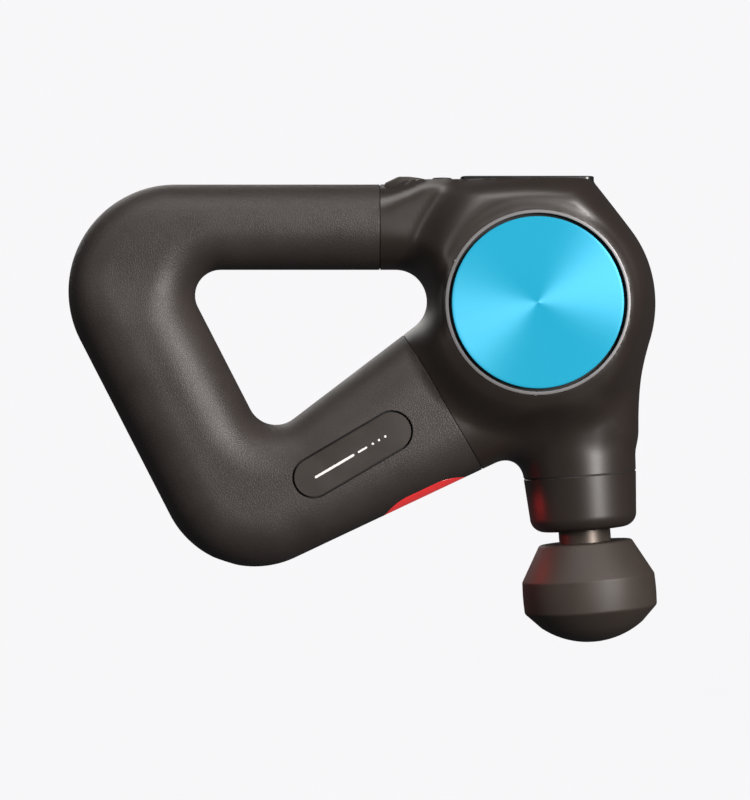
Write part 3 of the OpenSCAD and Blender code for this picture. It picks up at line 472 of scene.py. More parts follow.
def fillet(profile, radii, steps):
    """Rounds the corners of an open (radius, height) profile; radii has one number for each corner."""
    out = []
    for i, (p, r) in enumerate(zip(profile, radii)):
        if r <= 0 or i in (0, len(profile) - 1):
            out.append(p)
            continue
        a, b, c = (Vector(profile[n]) for n in (i - 1, i, i + 1))
        u, v = (a - b).normalized(), (c - b).normalized()
        half = u.angle(v) / 2
        cut = r / math.tan(half)
        start, end = b + u * cut, b + v * cut
        centre = b + (u + v).normalized() * (r / math.sin(half))
        s, e = start - centre, end - centre
        sweep = s.angle_signed(e)
        for k in range(steps + 1):
            t = -sweep * k / steps
            out.append((centre.x + s.x * math.cos(t) - s.y * math.sin(t),
                        centre.y + s.x * math.sin(t) + s.y * math.cos(t)))
    return out


SHAFT_FRAME = Matrix.Rotation(-LEAN, 4, "Y")
LEFT_FRAME = Matrix.Translation((DISC_X, 0, DISC_Z)) @ Matrix.Rotation(math.radians(90), 4, "X")


# ---- body pieces ----

CELL = 1.8
SNAP = 0.5
ON_PLANE = 1e-3
NET_LOW, NET_HIGH = (-224.0, -41.0, -27.0), (38.0, 3.0, 158.0)
# Where each cut through the skin stays
NOSE_REAR_X, NOSE_CEILING_Z = -36, 45
TOP_SEAM_SPAN, LOW_SEAM_SPAN = (-100, -70), (-95, -20)
SEAM_REACH = 3  # half the width of the gasket under a seam
SHELL_BEVEL = 0.2
# How far each cutting tool runs, from low to high
PLAQUE_REACH, LENS_REACH, PORT_REACH = (6.0, 30.0), (-6, 12), (-8, 8)
RING_TOOL_HIGH = 60
LENS_GAP, RING_GAP, HANDLE_CORE_GAP = 0.2, 0.1, 0.1


def cut(bm, point, normal, keep_behind=False, near=None):
    """Splits the faces in `near` along a plane, first moving points that almost lie on it onto it."""
    point, normal = Vector(point), Vector(normal).normalized()
    faces = [f for f in bm.faces if near is None or near(f.calc_center_median())]
    verts = {v for f in faces for v in f.verts}
    for v in verts:
        d = (v.co - point).dot(normal)
        if abs(d) < SNAP:
            v.co -= normal * d
    edges = {e for f in faces for e in f.edges}
    bmesh.ops.bisect_plane(bm, geom=[*verts, *edges, *faces], dist=1e-4, plane_co=point, plane_no=normal,
                           clear_outer=keep_behind)


def chain(edges):
    """The points of an open run of edges, in order."""
    at = {}
    for e in edges:
        for v in e.verts:
            at.setdefault(v, []).append(e)
    v = next(v for v, es in at.items() if len(es) == 1)
    order, used = [v], set()
    while True:
        e = next((e for e in at[v] if e not in used), None)
        if e is None:
            return order
        used.add(e)
        v = e.other_vert(v)
        order.append(v)


LOW_SEAM_NORMAL = Vector((turn(LOW_SEAM_ANGLE)[0], 0, turn(LOW_SEAM_ANGLE)[1]))


def past_low_seam(p):
    return (p - LOW_SEAM_POINT).dot(LOW_SEAM_NORMAL)


def in_head(p):
    if p.z > SEAM_SWITCH_Z:
        return p.x > TOP_SEAM_X
    return past_low_seam(p) > 0


def in_grip(p):
    return not in_head(p)


def near_seam(p):
    if p.z > SEAM_SWITCH_Z:
        return abs(p.x - TOP_SEAM_X) < SEAM_REACH
    return abs(past_low_seam(p)) < SEAM_REACH


def at_nose(p):
    return p.x > NOSE_REAR_X and p.z < NOSE_CEILING_Z


def at_top_seam(p):
    return p.z > SEAM_SWITCH_Z and TOP_SEAM_SPAN[0] < p.x < TOP_SEAM_SPAN[1]


def at_low_seam(p):
    return p.z < SEAM_SWITCH_Z and LOW_SEAM_SPAN[0] < p.x < LOW_SEAM_SPAN[1]


def keep(bm, wanted):
    """Deletes the faces whose middle is not wanted."""
    unwanted = [f for f in bm.faces if not wanted(f.calc_center_median())]
    bmesh.ops.delete(bm, geom=unwanted, context="FACES")


def half_skin():
    """The left half of the body surface, cut along the deck, the nose split and both seams."""
    points, faces = surface_net(body, NET_LOW, NET_HIGH, CELL)
    bm = bmesh.new()
    verts = [bm.verts.new(p) for p in points]
    for quad in faces:
        bm.faces.new([verts[i] for i in quad])
    cut(bm, (0, 0, 0), (0, 1, 0), True)
    cut(bm, (0, 0, DECK_Z), (0, 0, 1), True)
    cut(bm, -OUT * SPLIT_U, OUT, True, at_nose)
    cut(bm, (TOP_SEAM_X, 0, 0), (1, 0, 0), near=at_top_seam)
    cut(bm, LOW_SEAM_POINT, LOW_SEAM_NORMAL, near=at_low_seam)
    rim = [e for e in bm.edges if e.is_boundary and all(abs(v.co.z - DECK_Z) < ON_PLANE for v in e.verts)]
    deck = bm.faces.new(chain(rim))
    deck.normal_update()
    if deck.normal.z < 0:
        deck.normal_flip()
    bmesh.ops.triangulate(bm, faces=[deck])
    loose = [v for v in bm.verts if not v.link_faces]
    bmesh.ops.delete(bm, geom=loose, context="VERTS")
    return bm


def shell(skin, name, thickness, wanted, sign):
    """The left head shell or grip sleeve, a closed wall drawn back from the seams by half their gap.

    sign is 1 for the head, in front of the seams, and -1 for the grip.
    """
    bm = skin.copy()
    keep(bm, wanted)
    back = sign * SEAM_GAP / 2
    for v in bm.verts:
        if not v.is_boundary or abs(v.co.z - DECK_Z) < ON_PLANE:
            continue
        if abs(v.co.x - TOP_SEAM_X) < ON_PLANE and v.co.z > SEAM_SWITCH_Z:
            v.co.x += back
        elif abs(past_low_seam(v.co)) < ON_PLANE and v.co.z < SEAM_SWITCH_Z:
            v.co += LOW_SEAM_NORMAL * back
    piece = from_bmesh(name, scaled(bm))
    modify(piece, "SOLIDIFY", thickness=thickness * MM, offset=-1)
    return soften(piece, SHELL_BEVEL, angle=62)


def lining(skin, name, depth, thickness, wanted):
    """A closed wall under the skin, its outer face at the given depth."""
    bm = skin.copy()
    keep(bm, wanted)
    bm.normal_update()
    for v in bm.verts:
        v.co -= v.normal * depth
        v.co.y = min(v.co.y, 0)
    piece = from_bmesh(name, scaled(bm))
    return modify(piece, "SOLIDIFY", thickness=thickness * MM, offset=-1)


def cutter(bm):
    return from_bmesh("cutter", scaled(bm))


def minus(piece, bm):
    tool = cutter(bm)
    combine(piece, tool, "DIFFERENCE")
    discard(tool)


def common(piece, bm):
    tool = cutter(bm)
    combine(piece, tool, "INTERSECT")
    discard(tool)


def round_tool(radius, low, high, matrix, segments=96):
    angles = np.linspace(0, 360, segments, endpoint=False)
    circle = [on_circle(radius, a) for a in angles]
    return placed(prism(circle, low, high), matrix)


def plaque_tool(extra):
    outline = stadium(PLAQUE["length"] + 2 * extra, PLAQUE["height"] + 2 * extra)
    matrix = side_view_matrix(PLAQUE["x"], PLAQUE["z"], PLAQUE["slope"])
    return placed(prism(outline, *PLAQUE_REACH), matrix)


def lens_tool(extra):
    turned = Matrix.Rotation(-math.radians(LENS["slope"]), 4, "Y")
    matrix = Matrix.Translation((LENS["x"], 0, LENS["z"])) @ turned
    length, width = LENS["length"] + 2 * extra, LENS["width"] + 2 * extra
    return placed(prism(rounded_rectangle(length, width, LENS["corner"] + extra), *LENS_REACH), matrix)


def copy_of(piece, name):
    return link(name, piece.data.copy())


skin = half_skin()
grip = shell(skin, "grip_left", GRIP_T, in_grip, -1)
head = shell(skin, "head_left", HEAD_T, in_head, 1)
gasket = lining(skin, "seam_gasket_left", GASKET_DEPTH, GASKET_T, near_seam)
core = lining(skin, "handle_core_left", GRIP_T + HANDLE_CORE_GAP, HANDLE_CORE_T, in_grip)
skin.free()

plaque = copy_of(grip, "plaque_left")
common(plaque, plaque_tool(0))
minus(grip, plaque_tool(PLAQUE["gap"]))
lens_half = copy_of(grip, "lens_half")
common(lens_half, lens_tool(0))
port_x, port_z = turn(PORT["angle"])
port_turn = Vector((port_x, 0, port_z)).to_track_quat("Z", "Y").to_matrix().to_4x4()
port_frame = Matrix.Translation((PORT["x"], 0, PORT["z"])) @ port_turn
for wall in (grip, core):
    minus(wall, lens_tool(LENS_GAP))
    minus(wall, round_tool(PORT["radius"], *PORT_REACH, port_frame, 48))

minus(head, round_tool(RING_R + RING_GAP, SEAT_FLOOR, RING_TOOL_HIGH, LEFT_FRAME))
pocket = rounded_rectangle(PANEL_LENGTH + PANEL_POCKET_EXTRA, PANEL_WIDTH + PANEL_POCKET_EXTRA,
                           PANEL_POCKET_CORNER)
minus(head, placed(prism(pocket, PANEL_LOW.z, CLEAR_Z), Matrix.Translation((PANEL_X, 0, 0))))


def stick_tool(radius, depth):
    return round_tool(radius, DECK_Z - depth, CLEAR_Z, Matrix.Translation((STICK_X, 0, 0)), 48)


minus(head, stick_tool(STICK_DISH_R, STICK_DISH_DEPTH))
minus(head, stick_tool(STICK_WELL_R, STICK_WELL_DEPTH))

# The lip behind the joystick: its outline as x and the height over the deck, run across the head
LIP_FRONT_X, LIP_REAR_X, LIP_SUNK, LIP_HALF, LIP_ROUND = -66.3, -84.9, -3.4, 9.5, 0.8
lip_line = [(LIP_FRONT_X, LIP_SUNK), (LIP_FRONT_X, 0.25), (-70.2, 1.1), (-74.5, 1.65), (-79.0, 1.68),
            (LIP_REAR_X, -1.1), (LIP_REAR_X, LIP_SUNK)]
lip_frame = Matrix.Translation((0, 0, DECK_Z)) @ Matrix.Rotation(math.radians(90), 4, "X")
lip = from_bmesh("joystick_lip", scaled(placed(prism(lip_line, -LIP_HALF, LIP_HALF), lip_frame)))
soften(lip, LIP_ROUND, angle=20, segments=4)
minus(lip, stick_tool(STICK_DISH_R, STICK_DISH_DEPTH))


# ---- finishes ----

MATERIALS = {}


def node_of(tree, kind, **inputs):
    node = tree.nodes.new(kind)
    for key, value in inputs.items():
        node.inputs[key].default_value = value
    return node


def ramp_of(tree, source, low, high, out_low, out_high):
    limits = {"From Min": low, "From Max": high, "To Min": out_low, "To Max": out_high}
    node = node_of(tree, "ShaderNodeMapRange", **limits)
    tree.links.new(source, node.inputs["Value"])
    return node.outputs["Result"]


CLOUD_RANGE = (0.3, 0.7)  # the part of the noise that spreads colour and roughness
BUMP_STRENGTH = 0.6
BRUSH_STRETCH = (1.0, 12.0, 12.0)
LEATHER_WARP = 0.0006
LEATHER_VALLEY = 0.18


def finish_of(slot, colour, rough, metallic=0.0, mottle=0.12, mottle_scale=60.0, grain=None, spread=0.06,
              **sockets):
    """A procedural finish: colour variation, roughness variation and a fine bump.

    grain is (cells per metre, bump height in mm, "leather", "moulded" or "brushed").
    """
    material = bpy.data.materials.new(slot)
    material.use_nodes = True
    tree = material.node_tree
    shader = tree.nodes["Principled BSDF"]
    shader.inputs["Metallic"].default_value = metallic
    for key, value in sockets.items():
        shader.inputs[key.replace("_", " ")].default_value = value
    place = tree.nodes.new("ShaderNodeTexCoord").outputs["Object"]
    cloud = node_of(tree, "ShaderNodeTexNoise", Scale=mottle_scale, Detail=6.0, Roughness=0.6)
    tree.links.new(place, cloud.inputs["Vector"])
    tint = tree.nodes.new("ShaderNodeMix")
    tint.data_type = "RGBA"
    tint.inputs["A"].default_value = (*[v * (1 - mottle) for v in colour], 1)
    tint.inputs["B"].default_value = (*[v * (1 + mottle) for v in colour], 1)
    tree.links.new(ramp_of(tree, cloud.outputs["Fac"], *CLOUD_RANGE, 0, 1), tint.inputs["Factor"])
    tree.links.new(tint.outputs["Result"], shader.inputs["Base Color"])
    tree.links.new(ramp_of(tree, cloud.outputs["Fac"], *CLOUD_RANGE, rough - spread, rough + spread),
                   shader.inputs["Roughness"])
    if grain:
        scale, height, kind = grain
        if kind == "leather":
            cells = node_of(tree, "ShaderNodeTexVoronoi", Scale=scale)
            cells.feature = "DISTANCE_TO_EDGE"
            warp = node_of(tree, "ShaderNodeTexNoise", Scale=scale * 0.8, Detail=2.0)
            tree.links.new(place, warp.inputs["Vector"])
            bend = tree.nodes.new("ShaderNodeMix")
            bend.data_type = "VECTOR"
            bend.inputs["Factor"].default_value = LEATHER_WARP
            tree.links.new(place, bend.inputs["A"])
            tree.links.new(warp.outputs["Color"], bend.inputs["B"])
            tree.links.new(bend.outputs["Result"], cells.inputs["Vector"])
            source = ramp_of(tree, cells.outputs["Distance"], 0.0, LEATHER_VALLEY, 0, 1)
        else:
            fine = node_of(tree, "ShaderNodeTexNoise", Scale=scale, Detail=3.0, Roughness=0.55)
            if kind == "brushed":
                along = node_of(tree, "ShaderNodeMapping", Scale=BRUSH_STRETCH)
                tree.links.new(place, along.inputs["Vector"])
                tree.links.new(along.outputs["Vector"], fine.inputs["Vector"])
            else:
                tree.links.new(place, fine.inputs["Vector"])
            source = fine.outputs["Fac"]
        bump = node_of(tree, "ShaderNodeBump", Strength=BUMP_STRENGTH, Distance=height * MM)
        tree.links.new(source, bump.inputs["Height"])
        tree.links.new(bump.outputs["Normal"], shader.inputs["Normal"])
    MATERIALS[slot] = material


finish_of("soft_grip", (0.031, 0.0245, 0.0222), 0.5, mottle=0.1, mottle_scale=45,
          grain=(1050, 0.06, "leather"), Specular_IOR_Level=0.5)
finish_of("head_plastic", (0.02, 0.0145, 0.0118), 0.38, mottle=0.06, mottle_scale=30,
          grain=(2600, 0.012, "moulded"), spread=0.03, Specular_IOR_Level=0.75)
# frame_plastic is near black: partly the frame's own dark plastic, partly painted shade for the frame seen at
# the bottom of the groove round the side plaque
finish_of("frame_plastic", (0.009, 0.008, 0.008), 0.55, grain=(1800, 0.02, "moulded"))
finish_of("ring_metal", (0.17, 0.165, 0.17), 0.4, metallic=0.25, mottle=0.05, grain=(900, 0.01, "brushed"))
finish_of("plaque_plastic", (0.03, 0.024, 0.021), 0.42, mottle=0.06, grain=(2600, 0.01, "moulded"))
finish_of("black_rubber", (0.012, 0.012, 0.012), 0.7, grain=(1500, 0.03, "moulded"))
finish_of("screen_glass", (0.008, 0.009, 0.01), 0.3, mottle=0.3, spread=0.04)
finish_of("circuit_board", (0.012, 0.1, 0.045), 0.35, mottle=0.35, mottle_scale=420,
          grain=(700, 0.02, "moulded"))
finish_of("led_white", (0.9, 0.72, 0.68), 0.2, mottle=0.03)
finish_of("jack_plastic", (0.01, 0.01, 0.01), 0.45, grain=(2200, 0.015, "moulded"))
finish_of("guide_metal", (0.18, 0.17, 0.16), 0.35, metallic=1.0, grain=(800, 0.01, "brushed"))
finish_of("bush_bronze", (0.43, 0.27, 0.1), 0.4, metallic=1.0, mottle=0.2, grain=(1600, 0.015, "moulded"))
finish_of("motor_steel", (0.09, 0.1, 0.105), 0.38, metallic=0.9, grain=(900, 0.01, "brushed"))
finish_of("copper_wire", (0.43, 0.14, 0.035), 0.3, metallic=0.9, grain=(700, 0.05, "brushed"))
finish_of("bearing_steel", (0.6, 0.6, 0.59), 0.22, metallic=1.0, mottle=0.04)
finish_of("screw_steel", (0.5, 0.49, 0.47), 0.3, metallic=1.0, mottle=0.08)
finish_of("chip_black", (0.02, 0.02, 0.022), 0.5, grain=(1800, 0.01, "moulded"))
finish_of("cell_wrap", (0.04, 0.19, 0.32), 0.25, mottle=0.06, grain=(120, 0.03, "moulded"))
finish_of("nickel_strip", (0.55, 0.58, 0.6), 0.28, metallic=1.0, grain=(500, 0.02, "moulded"))
finish_of("red_lead", (0.35, 0.02, 0.015), 0.45)
finish_of("blue_lead", (0.02, 0.11, 0.38), 0.45)
finish_of("magnet_nickel", (0.045, 0.05, 0.055), 0.3, metallic=1.0)
finish_of("shaft_metal", (0.1, 0.082, 0.07), 0.38, metallic=0.7, mottle=0.05, grain=(900, 0.01, "brushed"))
finish_of("rod_alloy", (0.32, 0.35, 0.37), 0.42, metallic=1.0, mottle=0.12, grain=(600, 0.04, "moulded"))
finish_of("pad_foam", (0.036, 0.027, 0.022), 0.55, mottle=0.07, mottle_scale=40,
          grain=(2400, 0.025, "moulded"))
finish_of("stick_rubber", (0.02, 0.018, 0.018), 0.6, grain=(1800, 0.03, "moulded"))
finish_of("light_lens", (0.5, 0.012, 0.014), 0.3, mottle=0.3, mottle_scale=260,
          grain=(260, 0.5, "moulded"), Emission_Color=(1.0, 0.06, 0.06, 1), Emission_Strength=0.42)
finish_of("disc_metal", (0.012, 0.345, 0.54), 0.42, metallic=0.2, mottle=0.02, mottle_scale=8,
          Anisotropic=0.8, Anisotropic_Rotation=0.25)
finish_of("mark_print", (0.75, 0.72, 0.7), 0.5, mottle=0.04)


def spin(material):
    """Lays the brushing round the Y axis, as on metal spun on a lathe."""
    tree = material.node_tree
    tangent = tree.nodes.new("ShaderNodeTangent")
    tangent.direction_type, tangent.axis = "RADIAL", "Y"
    tree.links.new(tangent.outputs["Tangent"], tree.nodes["Principled BSDF"].inputs["Tangent"])


spin(MATERIALS["disc_metal"])

for node in frame["nodes"].values():
    for holder in node.material_slots:
        name = holder.material.name.split(".")[0] if holder.material else ""
        holder.material = MATERIALS.get(name, holder.material)


def dress(piece, slot, body_name, *nodes, look=None, angle=35, weighted=False):
    """Gives a piece its finish (look's, or else slot's) in one material slot, puts it under the body it rides
    on and hides the nodes it stands for.
    """
    shade(piece, angle)
    if weighted:
        modify(piece, "WEIGHTED_NORMAL", keep_sharp=True)
    piece.data.materials.clear()
    piece.data.materials.append(MATERIALS[look or slot])
    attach(piece, body_name)
    if nodes:
        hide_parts(*nodes)


# ---- shells, both sides ----

SHELLS = [(grip, "grip_sleeve", "soft_grip"), (head, "head_shell", "head_plastic"),
          (plaque, "side_plaque", "plaque_plastic"), (core, "handle_frame", "frame_plastic")]
for left, node, slot in SHELLS:
    right = mirrored(left, left.name.replace("left", "right"))
    dress(left, slot, "housing", f"{node}_left", angle=28, weighted=True)
    dress(right, slot, "housing", f"{node}_right", angle=28, weighted=True)

for piece in (gasket, mirrored(gasket, "seam_gasket_right")):
    dress(piece, "black_rubber", "housing")

dress(lip, "head_plastic", "housing", angle=30)

lens_right = mirrored(lens_half, "lens_right")
bm = bmesh.new()
bm.from_mesh(lens_half.data)
bm.from_mesh(lens_right.data)
middle = [f for f in bm.faces if all(abs(v.co.y) < 1e-6 for v in f.verts)]
bmesh.ops.delete(bm, geom=middle, context="FACES")
bmesh.ops.remove_doubles(bm, verts=bm.verts, dist=5e-6)
discard(lens_half, lens_right)
dress(from_bmesh("light_window_lens", bm), "light_lens", "housing", "light_window")


def surface_y(x, z):
    """Where the left side's surface lies at a place in the side view."""
    low, high = np.full(x.shape, -45.0), np.full(x.shape, -4.0)
    for _ in range(30):
        middle = (low + high) / 2
        inside = body(x, middle, z) < 0
        high = np.where(inside, middle, high)
        low = np.where(inside, low, middle)
    return (low + high) / 2


MARK_PROUD, MARK_SUNK = 0.06, 0.3
MARK_ROW = -0.4  # the row's height over the plaque's middle
# A dash, a short dash and three dots, each (place along the plaque, length, height)
MARKS = [(-9.0, 19.0, 1.0), (4.5, 4.5, 0.8), (9.5, 1.0, 1.0), (12.5, 1.0, 1.0), (15.5, 1.0, 1.0)]


def plaque_mark(name, centre, length, height):
    """A printed dash on the plaque: a thin raised stadium laid on its surface."""
    turned = math.radians(PLAQUE["slope"])
    rim = stadium(length, height, 8)
    rings = [[(x * k, y * k) for x, y in rim] for k in (1.0, 0.5)]
    flat = np.array([p for ring in rings for p in ring] + [(0.0, 0.0)])
    flat[:, 0] += centre[0]
    flat[:, 1] += centre[1]
    x = PLAQUE["x"] + flat[:, 0] * math.cos(turned) - flat[:, 1] * math.sin(turned)
    z = PLAQUE["z"] + flat[:, 0] * math.sin(turned) + flat[:, 1] * math.cos(turned)
    y = surface_y(x, z)
    bm = bmesh.new()
    layers = [[bm.verts.new(p) for p in zip(x, y + lift, z)] for lift in (-MARK_PROUD, MARK_SUNK)]
    n = len(rim)
    for layer, sign in zip(layers, (1, -1)):
        for i in range(n):
            j = (i + 1) % n
            band = (layer[i], layer[j], layer[n + j], layer[n + i])
            middle = (layer[n + i], layer[n + j], layer[2 * n])
            bm.faces.new(band[::sign])
            bm.faces.new(middle[::sign])
    for i in range(n):
        j = (i + 1) % n
        bm.faces.new((layers[0][j], layers[0][i], layers[1][i], layers[1][j]))
    bmesh.ops.recalc_face_normals(bm, faces=bm.faces)
    return from_bmesh(name, scaled(bm))


for number, (along, length, height) in enumerate(MARKS):
    left = plaque_mark(f"plaque_mark_left_{number}", (along, MARK_ROW), length, height)
    right = mirrored(left, f"plaque_mark_right_{number}")
    dress(left, "plaque_plastic", "housing", look="mark_print")
    dress(right, "plaque_plastic", "housing", look="mark_print")


# ---- turned pieces ----


ROUND_SEGMENTS = 160


def side_pair(name, node, slot, profile, angle=30):
    left = lathe(f"{name}_left", profile, LEFT_FRAME, ROUND_SEGMENTS)
    right = mirrored(left, f"{name}_right")
    dress(left, slot, "housing", f"{node}_left", angle=angle)
    dress(right, slot, "housing", f"{node}_right", angle=angle)
    return left, right


RING_IN = DISC_R + DISC_GAP
RING_SOLE_R = DISC_R - 2  # the ring's sole runs in under the disc
RING_SOLE_T = 0.3
RING_EDGE, RING_EDGE_MIDDLE, RING_IN_EDGE = 0.35, 0.1, 0.12
rings = side_pair("ring", "bezel_ring", "ring_metal", [
    (RING_SOLE_R, SEAT_FLOOR), (RING_R, SEAT_FLOOR), (RING_R, RING_FACE - RING_EDGE),
    (RING_R - RING_EDGE_MIDDLE, RING_FACE - RING_EDGE_MIDDLE), (RING_R - RING_EDGE, RING_FACE),
    (RING_IN + RING_IN_EDGE, RING_FACE), (RING_IN, RING_FACE - RING_IN_EDGE),
    (RING_IN, SEAT_FLOOR + RING_SOLE_T), (RING_SOLE_R, SEAT_FLOOR + RING_SOLE_T)])
# The ring's inner wall and sole, which show as a groove round the disc, are made black: painted shade
# standing in for the shadow in the groove
BELOW_FACE, PAST_WALL = 0.2, 0.05
for ring in rings:
    ring.data.materials.append(MATERIALS["black_rubber"])
    for face in ring.data.polygons:
        middle = face.center
        deep = abs(middle.y) < (RING_FACE - BELOW_FACE) * MM
        within = math.hypot(middle.x - DISC_X * MM, middle.z - DISC_Z * MM) < (RING_IN + PAST_WALL) * MM
        if deep and within:
            face.material_index = 1

DISC_FLOOR = SEAT_FLOOR + RING_SOLE_T + 0.1
DISC_LOW_EDGE, DISC_EDGE, DISC_EDGE_MIDDLE = 0.3, 0.4, 0.12
GROOVE, GROOVE_PITCH = 0.09, 1.3
GROOVES_OUT, GROOVES_IN = DISC_R - 1.2, 1.5
face_points = []
radius = GROOVES_OUT
while radius > GROOVES_IN:
    face_points += [(radius, DISC_FACE - GROOVE), (radius - GROOVE_PITCH * 0.5, DISC_FACE)]
    radius -= GROOVE_PITCH
side_pair("disc", "side_disc", "disc_metal", [
    (0, DISC_FLOOR), (DISC_R - DISC_LOW_EDGE, DISC_FLOOR), (DISC_R, DISC_FLOOR + DISC_LOW_EDGE),
    (DISC_R, DISC_FACE - DISC_EDGE), (DISC_R - DISC_EDGE_MIDDLE, DISC_FACE - DISC_EDGE_MIDDLE),
    (DISC_R - DISC_EDGE, DISC_FACE), *face_points, (0, DISC_FACE)], angle=60)


def nose_at(u):
    return NOSE_R + NOSE_TAPER * u


CAP_TOP = SPLIT_U - SPLIT_GAP
CAP_ROUND, CAP_WALL, CAP_EDGE, CAP_TOP_EDGE = 6, 4.4, 0.35, 0.3
MOUTH_R = 11.6
# The spigot on the cap's top, which goes up inside the head
SPIGOT_STEP, SPIGOT_TAPER, SPIGOT_IN, SPIGOT_H = 2.9, 0.3, 5.0, 3.8
low_r, top_r = nose_at(0), nose_at(CAP_TOP)
low_round = [on_circle(CAP_ROUND, a, low_r - CAP_ROUND, CAP_ROUND) for a in np.linspace(-90, 0, 13)]
cap_profile = [(MOUTH_R, CAP_EDGE), (MOUTH_R + CAP_EDGE, 0), *low_round, (top_r, CAP_TOP - CAP_EDGE),
               (top_r - CAP_TOP_EDGE, CAP_TOP), (top_r - SPIGOT_STEP, CAP_TOP),
               (top_r - SPIGOT_STEP - SPIGOT_TAPER, CAP_TOP + SPIGOT_H),
               (top_r - SPIGOT_IN, CAP_TOP + SPIGOT_H), (low_r - CAP_WALL, CAP_WALL), (MOUTH_R, CAP_WALL)]
dress(lathe("nose_cap_shell", cap_profile, SHAFT_FRAME, 144), "head_plastic", "housing", "nose_cap", angle=32)

# The attachment's soft body: a cone down to the belt, a slightly bulged belt and a dome, round a core
NECK = 5.5
PAD_R, PAD_TOP_R, PAD_H, PAD_WAIST, PAD_LOW = 28.4, 19.6, 42.5, 15.2, 28.5
BELT_BULGE = 0.3
PAD_CORE_R, PAD_CORE_H = 12.02, 21.02
COLLAR_R, COLLAR_H = 14.52, 2.02
PAD_ROUNDS = [0, 1.6, 2.2, 75.0, 2.0, 0]
DOME_START = 4  # the dome's point that the outline runs straight to from the belt's lower round
belt_r = PAD_R - BELT_BULGE
dome_h = PAD_H - PAD_LOW
dome_r = (belt_r**2 + dome_h**2) / (2 * dome_h)
dome_a = math.degrees(math.asin(belt_r / dome_r))
dome = [(dome_r * math.sin(math.radians(a)), -PAD_H + dome_r - dome_r * math.cos(math.radians(a)))
        for a in np.linspace(dome_a, 0, 15)]
dome[-1] = (0, -PAD_H)
belt_middle = (PAD_R, -(PAD_WAIST + PAD_LOW) / 2)
pad_corners = [(COLLAR_R, 0), (PAD_TOP_R, 0), (belt_r, -PAD_WAIST), belt_middle, dome[0], dome[DOME_START]]
outer = fillet(pad_corners, PAD_ROUNDS, 6)
pad_profile = [(0, -PAD_CORE_H), (PAD_CORE_R, -PAD_CORE_H), (PAD_CORE_R, -COLLAR_H), (COLLAR_R, -COLLAR_H),
               *outer[:-1], *dome[DOME_START:]]
pad = lathe("attachment_body", pad_profile, SHAFT_FRAME @ Matrix.Translation((0, 0, -NECK)), ROUND_SEGMENTS)
dress(pad, "pad_foam", "attachment", "attachment_pad", angle=40)

# The joystick's knob: a hole for the stem below, and a shallow dish for the thumb on top
STEM_HOLE_R, STEM_HOLE_H = 1.55, 4.6
THUMB_R, THUMB_FLOOR_R, THUMB_DEPTH = 2.9, 2.3, 0.35
KNOB_ROUNDS = [0, 0, 0, 0.2, 0.7, 0.3, 0.4, 0]
stick_top, stick_low = STICK_HIGH.z, STICK_LOW.z
stem_top, thumb_floor = stick_low + STEM_HOLE_H, stick_top - THUMB_DEPTH
knob_corners = [(0, stem_top), (STEM_HOLE_R, stem_top), (STEM_HOLE_R, stick_low), (STICK_R, stick_low),
                (STICK_R, stick_top), (THUMB_R, stick_top), (THUMB_FLOOR_R, thumb_floor), (0, thumb_floor)]
knob = lathe("joystick_knob", fillet(knob_corners, KNOB_ROUNDS, 4), Matrix.Translation((STICK_X, 0, 0)), 64)
dress(knob, "stick_rubber", "stick_cap", "joystick_cap")

GLASS_ROUND = 0.5
plate = prism(rounded_rectangle(PANEL_LENGTH, PANEL_WIDTH, PANEL_CORNER), PANEL_LOW.z, PANEL_HIGH.z)
glass = from_bmesh("panel_glass", scaled(placed(plate, Matrix.Translation((PANEL_X, 0, 0)))))
soften(glass, GLASS_ROUND, angle=60, segments=4)
dress(glass, "screen_glass", "housing", "display_panel")


# ---- stage, lights and camera, in metres ----

TARGET = Vector((-0.0889, 0.0, 0.0548))
FLOOR_FRONT_Y, FLOOR_Z, SWEEP_Y, SWEEP_R, WALL_TOP_Z, STAGE_HALF = -2.2, -0.16, 0.9, 0.6, 2.4, 3.5


def backdrop():
    """A floor that sweeps up into a wall, evenly lit by itself so that it renders as plain paper."""
    line = [(FLOOR_FRONT_Y, FLOOR_Z), (SWEEP_Y, FLOOR_Z)]
    line += [on_circle(SWEEP_R, a, SWEEP_Y, FLOOR_Z + SWEEP_R) for a in np.linspace(-85, 0, 16)]
    line.append((SWEEP_Y + SWEEP_R, WALL_TOP_Z))
    bm = bmesh.new()
    rows = [[bm.verts.new((x, y, z)) for y, z in line] for x in (-STAGE_HALF, STAGE_HALF)]
    for i in range(len(line) - 1):
        bm.faces.new((rows[0][i], rows[1][i], rows[1][i + 1], rows[0][i + 1]))
    sheet = from_bmesh("backdrop", bm)
    sheet.data.shade_smooth()
    paper = bpy.data.materials.new("backdrop_paper")
    paper.use_nodes = True
    shader = paper.node_tree.nodes["Principled BSDF"]
    shader.inputs["Base Color"].default_value = (0.04, 0.04, 0.04, 1)
    shader.inputs["Roughness"].default_value = 1.0
    shader.inputs["Specular IOR Level"].default_value = 0.0
    shader.inputs["Emission Color"].default_value = (0.945, 0.935, 0.95, 1)
    shader.inputs["Emission Strength"].default_value = 0.965
    sheet.data.materials.append(paper)
    sheet.visible_glossy = False
    sheet.visible_diffuse = False


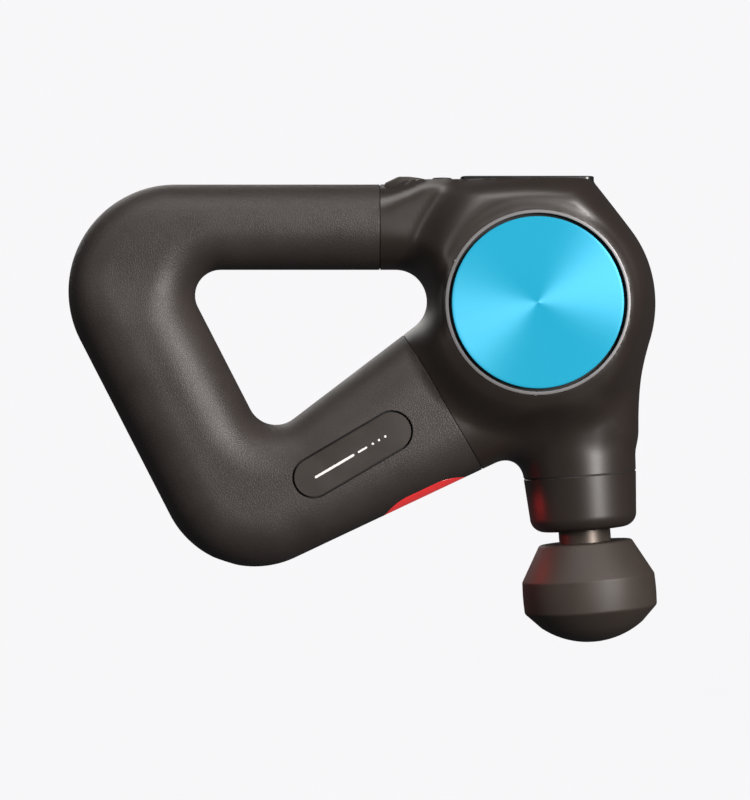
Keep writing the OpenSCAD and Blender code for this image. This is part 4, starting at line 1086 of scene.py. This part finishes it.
def softbox(name, direction, distance, width, height, power, colour):
    data = bpy.data.lights.new(name, "AREA")
    data.shape, data.size, data.size_y = "RECTANGLE", width, height
    data.energy, data.color = power, colour
    light = bpy.data.objects.new(name, data)
    scene.collection.objects.link(light)
    direction = Vector(direction).normalized()
    light.location = TARGET + direction * distance
    light.rotation_euler = (-direction).to_track_quat("-Z", "Y").to_euler()


def lens_glow(side):
    """The red light that the lens throws on the nose and the attachment."""
    data = bpy.data.lights.new("lens_glow", "SPOT")
    data.energy, data.color, data.shadow_soft_size = 0.016, (1.0, 0.04, 0.04), 0.004
    data.spot_size, data.spot_blend = math.radians(115), 0.6
    glow = bpy.data.objects.new("lens_glow", data)
    scene.collection.objects.link(glow)
    glow.location = Vector((LENS["x"] + 6, side * 7, LENS["z"] - 9)) * MM
    glow.rotation_euler = Vector((1, 0, -0.8)).to_track_quat("-Z", "Y").to_euler()


backdrop()
# Each softbox: direction from the target, distance, width, height, power and colour
WARM, WARMER = (1.0, 0.97, 0.95), (1.0, 0.97, 0.94)
softbox("key", (0.54, -0.81, 0.23), 1.5, 0.38, 0.8, 36, WARMER)
softbox("top", (-0.2, -0.45, 1.0), 1.3, 1.0, 0.5, 7, WARM)
softbox("left_fill", (-0.8, -0.6, 0.35), 1.6, 0.6, 0.9, 2.5, WARM)
softbox("back_key", (-0.35, 0.9, 0.5), 1.6, 0.9, 0.9, 5, WARMER)
for side in (-1, 1):
    lens_glow(side)

world = bpy.data.worlds.new("studio")
scene.world = world
world.use_nodes = True
world.node_tree.nodes["Background"].inputs["Color"].default_value = (0.95, 0.95, 1.0, 1)
world.node_tree.nodes["Background"].inputs["Strength"].default_value = 0.055

scene.view_settings.view_transform = "Standard"
scene.view_settings.look = "None"

CAMERA_LENS, CAMERA_SENSOR, CAMERA_DISTANCE = 130.5, 36, 1.2325
camera_data = bpy.data.cameras.new("camera")
camera_data.lens, camera_data.sensor_width = CAMERA_LENS, CAMERA_SENSOR
camera_data.clip_end = 20
camera = bpy.data.objects.new("camera", camera_data)
scene.collection.objects.link(camera)
camera.location = (TARGET.x, -CAMERA_DISTANCE, TARGET.z)
camera.rotation_euler = (math.radians(90), 0, 0)
scene.camera = camera
